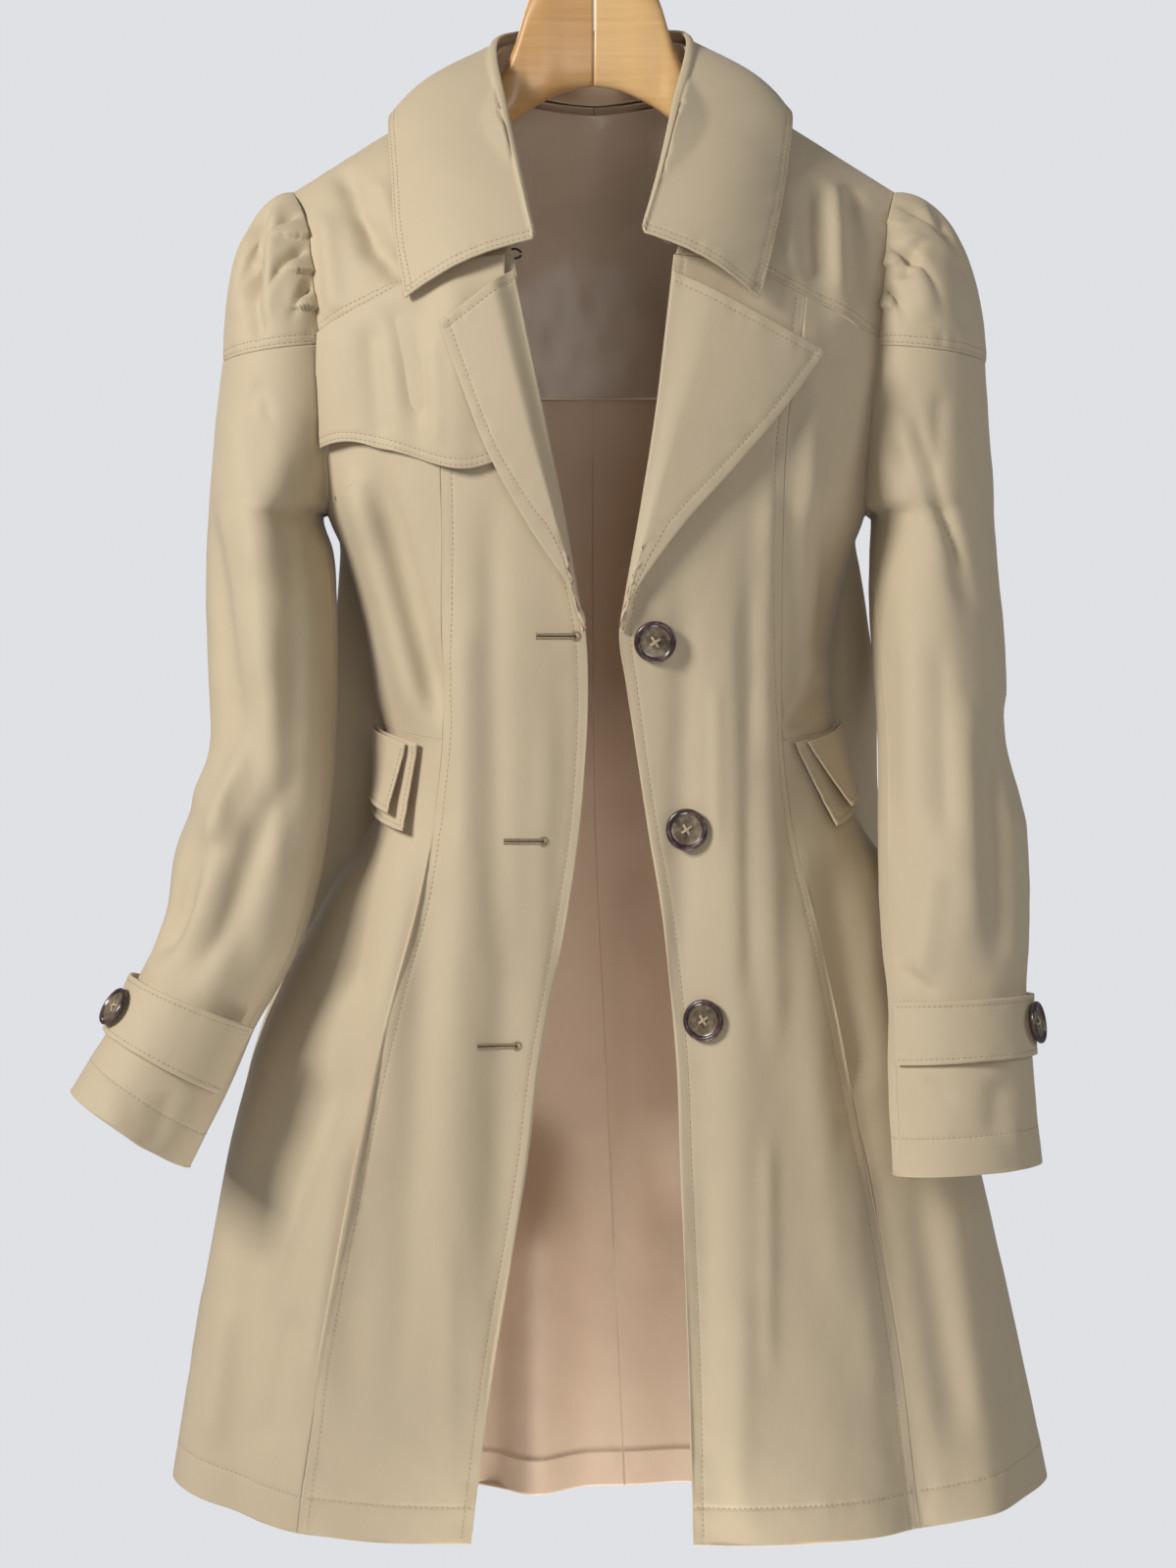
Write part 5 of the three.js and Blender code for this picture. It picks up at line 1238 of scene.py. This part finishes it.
def tucks(side, z, from_seam):
    """Folded tucks along the armhole: the cloth swells out to each line and steps in below it."""
    lines = CAP_TUCKS[side]
    height = np.zeros(z.shape)
    for above, line in zip(lines, lines[1:]):
        share = (above - z) / (above - line)
        height += np.where((share > 0) & (share <= 1), share ** 1.6, 0)
    reach = TUCK_REACH[side]
    return TUCK_HEIGHT * height * (1 - smooth((from_seam - reach * 0.35) / (reach * 0.65)))


def cap_relief(side, seed):
    fine = sleeve_relief(side, seed, FINE_CAP[side], 0.3)

    def relief(points, u, v, edge):
        return fine(points, u, v, edge) + tucks(side, points[..., 2], edge["v0"])
    return relief


for number, side in enumerate(SIDES):
    make_panel(f"centre_front_{side}", centre_front_point(side), axis_inside, 2.6, 3.6,
               steps={"v1": HEM_STEPS}, hem=22, relief=soft_relief(1 + number, front=FINE_FRONT),
               stitches=(("u0", (6.0,)), ("u1", (6.0,)), ("v1", (22.2,))))
    make_panel(f"side_front_{side}", side_front_point(side), axis_inside, 2.6, 3.2,
               relief=soft_relief(3 + number, front=FINE_FRONT))
    make_panel(f"side_skirt_{side}", side_skirt_point(side), axis_inside, 2.8, 3.6,
               steps={"v1": HEM_STEPS}, hem=22, relief=soft_relief(5 + number, front=FINE_FRONT),
               stitches=(("v1", (22.2,)),))
    make_panel(f"front_yoke_{side}", front_yoke_point(side), lambda p, s=side: (SIGN[s] * 110, 0, -260),
               2.6, 2.6, relief=soft_relief(7 + number, front=FINE_YOKE), stitches=(("v1", (2.2, 6.0)),), pucker=0.3)
    make_panel(f"back_{side}", back_point(side), axis_inside, 3.0, 4.0,
               steps={"v1": HEM_STEPS}, hem=22, relief=soft_relief(9 + number, back=FINE_BACK),
               stitches=(("v1", (22.2,)),))
    make_panel(f"lapel_{side}", lapel_point(side), axis_inside, 2.2, 2.6, wall=1.8,
               relief=soft_relief(11 + number, 0.2), stitches=(("u1", (6.0,)), ("v0", (6.0,))))
    make_panel(f"top_sleeve_{side}", top_sleeve_point(side), sleeve_inside(side), 2.6, 3.2,
               steps={"v1": HEM_STEPS}, hem=22, relief=sleeve_relief(side, 13 + number, FINE_SLEEVE[side]),
               stitches=(("v1", (22.2,)),))
    make_panel(f"under_sleeve_{side}", under_sleeve_point(side), sleeve_inside(side), 2.8, 3.6,
               steps={"v1": HEM_STEPS}, hem=22, relief=sleeve_relief(side, 15 + number, FINE_SLEEVE[side]),
               stitches=(("v1", (22.2,)),))
    make_panel(f"sleeve_cap_{side}", cap_point(side), lambda p, s=side: (SIGN[s] * 190, 0, -300), 1.2, 1.8,
               relief=cap_relief(side, 17 + number), stitches=(("v1", (2.2, 6.0)),), pucker=0.3)
    make_panel(f"cuff_strap_{side}", strap_point(side), sleeve_inside(side), 2.2, 2.4, wall=1.8,
               stitches=(("v0", (3.2,)), ("v1", (3.2,)), ("u1", (3.2,))))
for layer, side, top_x, foot_x, foot_z, lift, flare in POCKET_FLAPS:
    flap_point = pocket_flap_point(side, top_x, foot_x, foot_z, lift, flare)
    make_panel(f"pocket_flap_{layer}_{side}", flap_point, axis_inside,
               2.2, 2.2, wall=1.4, stitches=(("v1", (3.2,)), ("u0", (3.2,))))
make_panel("neck_lining", neck_lining_point, axis_inside, 3.0, 3.0, wall=0.7,
           materials=(SATIN, SATIN), relief=soft_relief(21, 1.0, 60))
make_panel("storm_flap", storm_flap_point, axis_inside, 2.4, 2.4, wall=1.4,
           relief=soft_relief(22, 0.4, front=FINE_FLAP), stitches=(("v1", (2.2, 6.0)),))
make_panel("collar_leaf", leaf_point, lambda p: (p[0] * 0.3, p[1] * 0.3, -400), 2.4, 2.2, wall=1.8,
           stitches=(("v1", (2.2, 6.0)), ("u0", (2.2, 6.0)), ("u1", (2.2, 6.0))))
make_panel("collar_stand", collar_stand_point, lambda p: (0, -18, p[2]), 2.4, 2.0, wall=1.8,
           stitches=(("v0", (3.2,)),))


# Hanger and hook
def loft(rings, cap_start, cap_end):
    """Vertices and quads of closed rings joined in a row, with a point at each end."""
    count, size = rings.shape[:2]
    verts = np.concatenate([rings.reshape(-1, 3), [cap_start], [cap_end]])
    quads = []
    for j in range(count - 1):
        for i in range(size):
            k = (i + 1) % size
            quads.append((j * size + i, j * size + k, (j + 1) * size + k, (j + 1) * size + i))
    start, end = count * size, count * size + 1
    for i in range(size):
        k = (i + 1) % size
        quads.append((start, k, i, i))
        quads.append((end, (count - 1) * size + i, (count - 1) * size + k, (count - 1) * size + k))
    return verts, np.array(quads)


def fix_winding(verts, quads):
    a, b, c, d = (verts[quads[:, k]] for k in range(4))
    volume = (np.einsum("ij,ij->i", a, np.cross(b, c)) + np.einsum("ij,ij->i", a, np.cross(c, d))).sum()
    if volume < 0:
        is_triangle = quads[:, 2] == quads[:, 3]
        flipped = quads[:, ::-1].copy()
        flipped[is_triangle] = quads[is_triangle][:, [1, 0, 2, 2]]
        return flipped
    return quads


def hanger_half(side):
    xs = np.concatenate([[0.22], np.linspace(2, 170, 85)])
    angles = np.linspace(0, 2 * math.pi, 49)[:-1]
    top, foot = read(HANGER_ARM, "x", "top", xs), read(HANGER_ARM, "x", "foot", xs)
    y, half = read(HANGER_ARM, "x", "y", xs), read(HANGER_ARM, "x", "half", xs)
    middle, height = (top + foot) / 2, (top - foot) / 2
    ring_y = y[:, None] + half[:, None] * signed_power(np.cos(angles), 2 / 3)[None]
    ring_z = middle[:, None] + height[:, None] * signed_power(np.sin(angles), 2 / 3)[None]
    rings = stack(SIGN[side] * xs[:, None] * np.ones_like(ring_y), ring_y, ring_z)
    end = (SIGN[side] * 175, y[-1], middle[-1])
    round_end = []
    for share in (0.35, 0.65, 0.88):
        centre = np.array((SIGN[side] * (170 + 5 * share), y[-1], middle[-1]))
        scale = math.sqrt(1 - share ** 2)
        round_end.append(centre + (rings[-1] - (SIGN[side] * 170, y[-1], middle[-1])) * (1, scale, scale))
    rings = np.concatenate([rings, np.array(round_end)])
    verts, quads = loft(rings, (SIGN[side] * 0.22, 0, middle[0]), end)
    material = WOOD_RIGHT if side == "right" else WOOD_LEFT
    obj = new_mesh(f"hanger_{side}_wood", verts, fix_winding(verts, quads), materials=(material,))
    add_piece(obj, f"hanger_{side}")


def tube(name, path, radius, material, node=None, facets=20):
    path = np.asarray(path, float)
    tangent = unit(np.gradient(path, axis=0))
    across = unit(np.cross(tangent, np.where(np.abs(tangent[:, 1:2]) < 0.9, (0, 1, 0), (1, 0, 0))))
    up = np.cross(across, tangent)
    angles = np.linspace(0, 2 * math.pi, facets + 1)[:-1]
    radius = np.broadcast_to(radius, len(path))
    ring = across[:, None] * np.cos(angles)[None, :, None] + up[:, None] * np.sin(angles)[None, :, None]
    rings = path[:, None] + ring * radius[:, None, None]
    verts, quads = loft(rings, path[0], path[-1])
    uv = verts[:, [0, 2]] * MM
    obj = new_mesh(name, verts, fix_winding(verts, quads), uv=uv, materials=(material,))
    return add_piece(obj, node)


def smooth_path(places, count):
    """A Catmull-Rom curve through places, evenly stepped."""
    p = np.asarray(places, float)
    p = np.concatenate([[2 * p[0] - p[1]], p, [2 * p[-1] - p[-2]]])
    t = np.linspace(0, len(places) - 1, count)
    i = np.minimum(t.astype(int), len(places) - 2)
    f = (t - i)[:, None]
    a, b, c, d = p[i], p[i + 1], p[i + 2], p[i + 3]
    bend = (2 * a - 5 * b + 4 * c - d) * f ** 2
    return 0.5 * (2 * b + (c - a) * f + bend + (3 * b - a - 3 * c + d) * f ** 3)


def hook():
    reach = HOOK_INSIDE + HOOK_WIRE
    places = [(0, 0, -70.5), (0, 0, -58), (0.8, 0, -46)]
    degrees = -48.0
    while degrees <= 200:
        angle = math.radians(degrees)
        places.append((reach * math.cos(angle), 0, -HOOK_INSIDE + reach * math.sin(angle)))
        degrees += 24.8
    path = smooth_path(places, 120)
    radius = np.full(len(path), float(HOOK_WIRE))
    radius[-4:] = HOOK_WIRE * np.array((0.97, 0.88, 0.66, 0.25))
    tube("hook_wire", path, radius, STEEL, "hook", 24)


# Buttons
DISH_RADIUS = 9.0
BUTTON_PROFILE = (
    (0, 0), (9.4, 0), (10.6, 0.25), (11.7, 0.9), (12.4, 1.7), (12.5, 2.4), (12.2, 3.2), (11.6, 3.75),
    (11.0, 3.95),
    (10.4, 3.9), (9.9, 3.55), (9.5, 3.0), (8.9, 2.75), (7.5, 2.6), (5.0, 2.42), (2.6, 2.38), (0, 2.38),
)


def basis_to(normal):
    normal = unit(np.asarray(normal, float))
    across = unit(np.cross(normal, (0, 0, 1)))
    return across, np.cross(across, normal), normal


def on_panel(panel, x, z):
    """The place and the normal of a panel's outside at x, z of the front view."""
    outer, normals = panel["outer"], panel["normals"]
    reach = np.hypot(outer[..., 0] - x, outer[..., 2] - z)
    near = np.unravel_index(np.argmin(reach), reach.shape)
    place, normal = outer[near], unit(normals[near])
    y = place[1] - (normal[0] * (x - place[0]) + normal[2] * (z - place[2])) / normal[1]
    return np.array((x, y, z)), normal


def thread_bar(start, end, normal, radius):
    """One short stitch, raised at its middle."""
    side = unit(np.cross(normal, end - start)) * radius
    rise = normal * radius
    verts = []
    for share, lift in ((0, -0.5), (0.25, 1), (0.75, 1), (1, -0.5)):
        middle = start + (end - start) * share + rise * lift
        verts += [middle + side, middle + rise, middle - side, middle - rise]
    return np.array(verts), STITCH_FACES


def make_buttonhole(name, panel, x, z):
    """A worked keyhole slot: close dark stitches on both sides of the slit and around the eye, and a near-black tube
    along the slit and in the eye as painted shadow of the cut.
    """
    half = HOLE_LENGTH / 2
    bars, slit = [], []
    for along in np.arange(-half, half - EYE_RADIUS, BAR_PITCH):
        for up in (1, -1):
            inner, normal = on_panel(panel, x + along, z + up * SLIT_GAP)
            outer, _ = on_panel(panel, x + along, z + up * (SLIT_GAP + BAR_LENGTH))
            bars.append(thread_bar(inner, outer, normal, BAR_RADIUS))
        slit.append(on_panel(panel, x + along, z)[0])
    eye_x = x + half - EYE_RADIUS
    for angle in np.radians(np.arange(-140, 141, 20)):
        way = np.array((math.cos(angle), math.sin(angle)))
        inner, normal = on_panel(panel, eye_x + way[0] * EYE_RADIUS, z + way[1] * EYE_RADIUS)
        outer, _ = on_panel(panel, *((eye_x, z) + way * (EYE_RADIUS + BAR_LENGTH)))
        bars.append(thread_bar(inner, outer, normal, BAR_RADIUS))
    slit.append(on_panel(panel, eye_x, z)[0])
    add_stitches(name + "_stitching", bars, DARK_THREAD)
    # Painted shadow: a near-black tube in the slit and the eye stands in for the dark of the open cut.
    widths = np.full(len(slit), SLIT_GAP * 0.7)
    widths[-2:] = EYE_RADIUS * 0.7
    tube(name + "_slit", slit, widths, SLIT_SHADE, facets=10)


def hook_and_eye():
    """Two bent wires sewn at the ends of the stand: the hook on one side and the eye on the other."""
    stand = PANELS["collar_stand"]
    for side, x, z, bend in CLASPS:
        place, _ = on_panel(stand, x, z)
        ahead = place - (0, WIRE_STANDOFF, 0)
        loop = [ahead + (CLASP_SIZE * math.cos(a), -bend * math.sin(a / 2), CLASP_SIZE * 0.7 * math.sin(a))
                for a in np.linspace(0.3, 2 * math.pi - 0.3, 24)]
        tube(f"neck_clasp_{side}", smooth_path(loop, 60), WIRE_RADIUS, DARK_METAL, facets=10)


def make_button(name, place, normal, turn=0.0):
    """A turned rim and a dished middle with four holes, sewn on with crossed thread."""
    across, up, normal = basis_to(normal)
    across, up = across * math.cos(turn) + up * math.sin(turn), up * math.cos(turn) - across * math.sin(turn)
    angles = np.linspace(0, 2 * math.pi, 49)[:-1]
    profile = np.array(BUTTON_PROFILE[1:-1], float)
    rings = (across[None, None] * (np.cos(angles)[None, :] * profile[:, :1])[..., None]
             + up[None, None] * (np.sin(angles)[None, :] * profile[:, :1])[..., None]
             + normal[None, None] * profile[:, 1][:, None, None] + place)
    verts, quads = loft(rings, place, place + normal * BUTTON_PROFILE[-1][1])
    centre = verts[quads].mean(axis=1) - place
    is_dish = (np.linalg.norm(centre, axis=1) < DISH_RADIUS) & (centre @ normal > 1)
    quads = fix_winding(verts, quads)
    obj = new_mesh(name + "_disc", verts, quads, slots=is_dish, materials=(HORN, HORN_DISH))
    add_piece(obj, name)
    holes = []
    for k, degrees in enumerate((45, 135, 225, 315)):
        angle = math.radians(degrees)
        centre = place + (across * math.cos(angle) + up * math.sin(angle)) * 3.2
        holes.append(centre)
    for k, (a, b) in enumerate(((0, 2), (1, 3))):
        start, end = holes[a] + normal * 1.2, holes[b] + normal * 1.2
        middle = (holes[a] + holes[b]) / 2 + normal * (3.1 + 0.35 * k)
        for strand in (-0.45, 0, 0.45):
            aside = unit(np.cross(normal, end - start)) * strand
            path = smooth_path([start, start + normal * 1.3, middle, end + normal * 1.3, end], 20) + aside
            tube(f"{name}_thread_{k}_{int(strand * 100) + 50}", path, 0.34, THREAD, facets=8)


for name, x, z, standoff in FRONT_BUTTONS:
    turn = turn_at(x, z)
    make_button(name, lifted(turn, z, standoff), body_normal(turn, z), 0.2)
for name, side, degrees, drop, standoff in CUFF_BUTTONS:
    strap_z, lift = STRAPS[side][:2]
    z = strap_z - drop
    turns = np.radians(degrees + 20 * (np.array((0, 0.5, 1)) - 0.5))
    heights = z + 20 * (np.array((0, 0.5, 1)) - 0.5)
    along_u = sleeve_point(side, turns[[0, 2]], np.array((z, z)), lift * 0.83)
    along_v = sleeve_point(side, turns[[1, 1]], heights[[0, 2]], lift * 0.83)
    centre = sleeve_point(side, turns[1], np.asarray(z, float), lift * 0.83)
    normal = unit(np.cross(along_u[1] - along_u[0], along_v[1] - along_v[0]))
    if np.dot(normal, centre - np.array(sleeve_inside(side)(centre))) < 0:
        normal = -normal
    make_button(name, centre + normal * standoff, normal, 0.5)
for name, x, z in BUTTONHOLES:
    make_buttonhole(f"buttonhole_{name}", PANELS["centre_front_right"], x, z)
hook_and_eye()
for side in SIDES:
    hanger_half(side)
hook()


# Camera, light and stage
CAMERA_AT = (-0.0036, -2.5, -0.575)
VIEW_HEIGHT = 0.96
camera_data = bpy.data.cameras.new("camera")
camera_data.sensor_fit = "VERTICAL"
camera_data.angle = 2 * math.atan(VIEW_HEIGHT / 2 / -CAMERA_AT[1])
camera_data.clip_start = 0.1
camera_data.clip_end = 20
camera = bpy.data.objects.new("camera", camera_data)
camera.location = CAMERA_AT
camera.rotation_euler = (math.pi / 2, 0, 0)
bpy.context.scene.collection.objects.link(camera)
bpy.context.scene.camera = camera


def area_light(name, place, target, size, power, color=(1, 1, 1)):
    data = bpy.data.lights.new(name, "AREA")
    data.shape = "RECTANGLE"
    data.size, data.size_y = size
    data.energy = power
    data.color = color
    light = bpy.data.objects.new(name, data)
    light.location = place
    way = np.array(target, float) - np.array(place, float)
    light.rotation_euler = aim(way)
    light.visible_camera = False
    bpy.context.scene.collection.objects.link(light)


def aim(way):
    """Euler angles that point an object's -Z axis along way."""
    flat = math.hypot(way[0], way[1])
    return (math.pi / 2 + math.atan2(way[2], flat), 0, math.atan2(way[1], way[0]) - math.pi / 2)


area_light("key", (-2.05, -1.6, 0.7), (0, 0, -0.6), (0.8, 0.8), 78, (1, 0.985, 0.965))
area_light("front", (0.5, -2.9, -0.3), (0, 0, -0.65), (0.8, 1.2), 12, (1, 0.99, 0.98))
area_light("rim", (2.2, -0.5, 0.1), (0, 0, -0.6), (0.8, 1.4), 10, (0.96, 0.98, 1))
area_light("inside", (0.05, -0.13, -1.32), (0.04, 0.09, -0.85), (0.25, 0.1), 2.0, (1, 0.97, 0.95))
area_light("back_wash", (-0.6, 2.6, 0.6), (0, 0, -0.6), (1.6, 1.6), 20)

world = bpy.data.worlds.new("studio")
world.use_nodes = True
tree = world.node_tree
ambient = tree.nodes["Background"]
ambient.inputs["Color"].default_value = (0.93, 0.95, 1.0, 1)
ambient.inputs["Strength"].default_value = 0.15
seen = tree.nodes.new("ShaderNodeBackground")
seen.inputs["Color"].default_value = (0.737, 0.752, 0.783, 1)
blend = tree.nodes.new("ShaderNodeMixShader")
ray = tree.nodes.new("ShaderNodeLightPath")
tree.links.new(ray.outputs["Is Camera Ray"], blend.inputs[0])
tree.links.new(ambient.outputs[0], blend.inputs[1])
tree.links.new(seen.outputs[0], blend.inputs[2])
tree.links.new(blend.outputs[0], tree.nodes["World Output"].inputs["Surface"])
bpy.context.scene.world = world

FLOOR_Z = -1900
FLOOR_RADIUS = 3600
FLOOR = plain_material("floor", (0.66, 0.67, 0.69), 0.9)
rim = np.linspace(0, 2 * math.pi, 97)[:-1]
floor_rim = stack(np.cos(rim) * FLOOR_RADIUS, np.sin(rim) * FLOOR_RADIUS, FLOOR_Z)
floor_points = np.concatenate([floor_rim, [(0, 0, FLOOR_Z)]])
floor_faces = [(96, i, (i + 1) % 96, (i + 1) % 96) for i in range(96)]
new_mesh("floor", floor_points, floor_faces, materials=(FLOOR,), smooth_faces=False)

bpy.context.scene.view_settings.view_transform = "Standard"
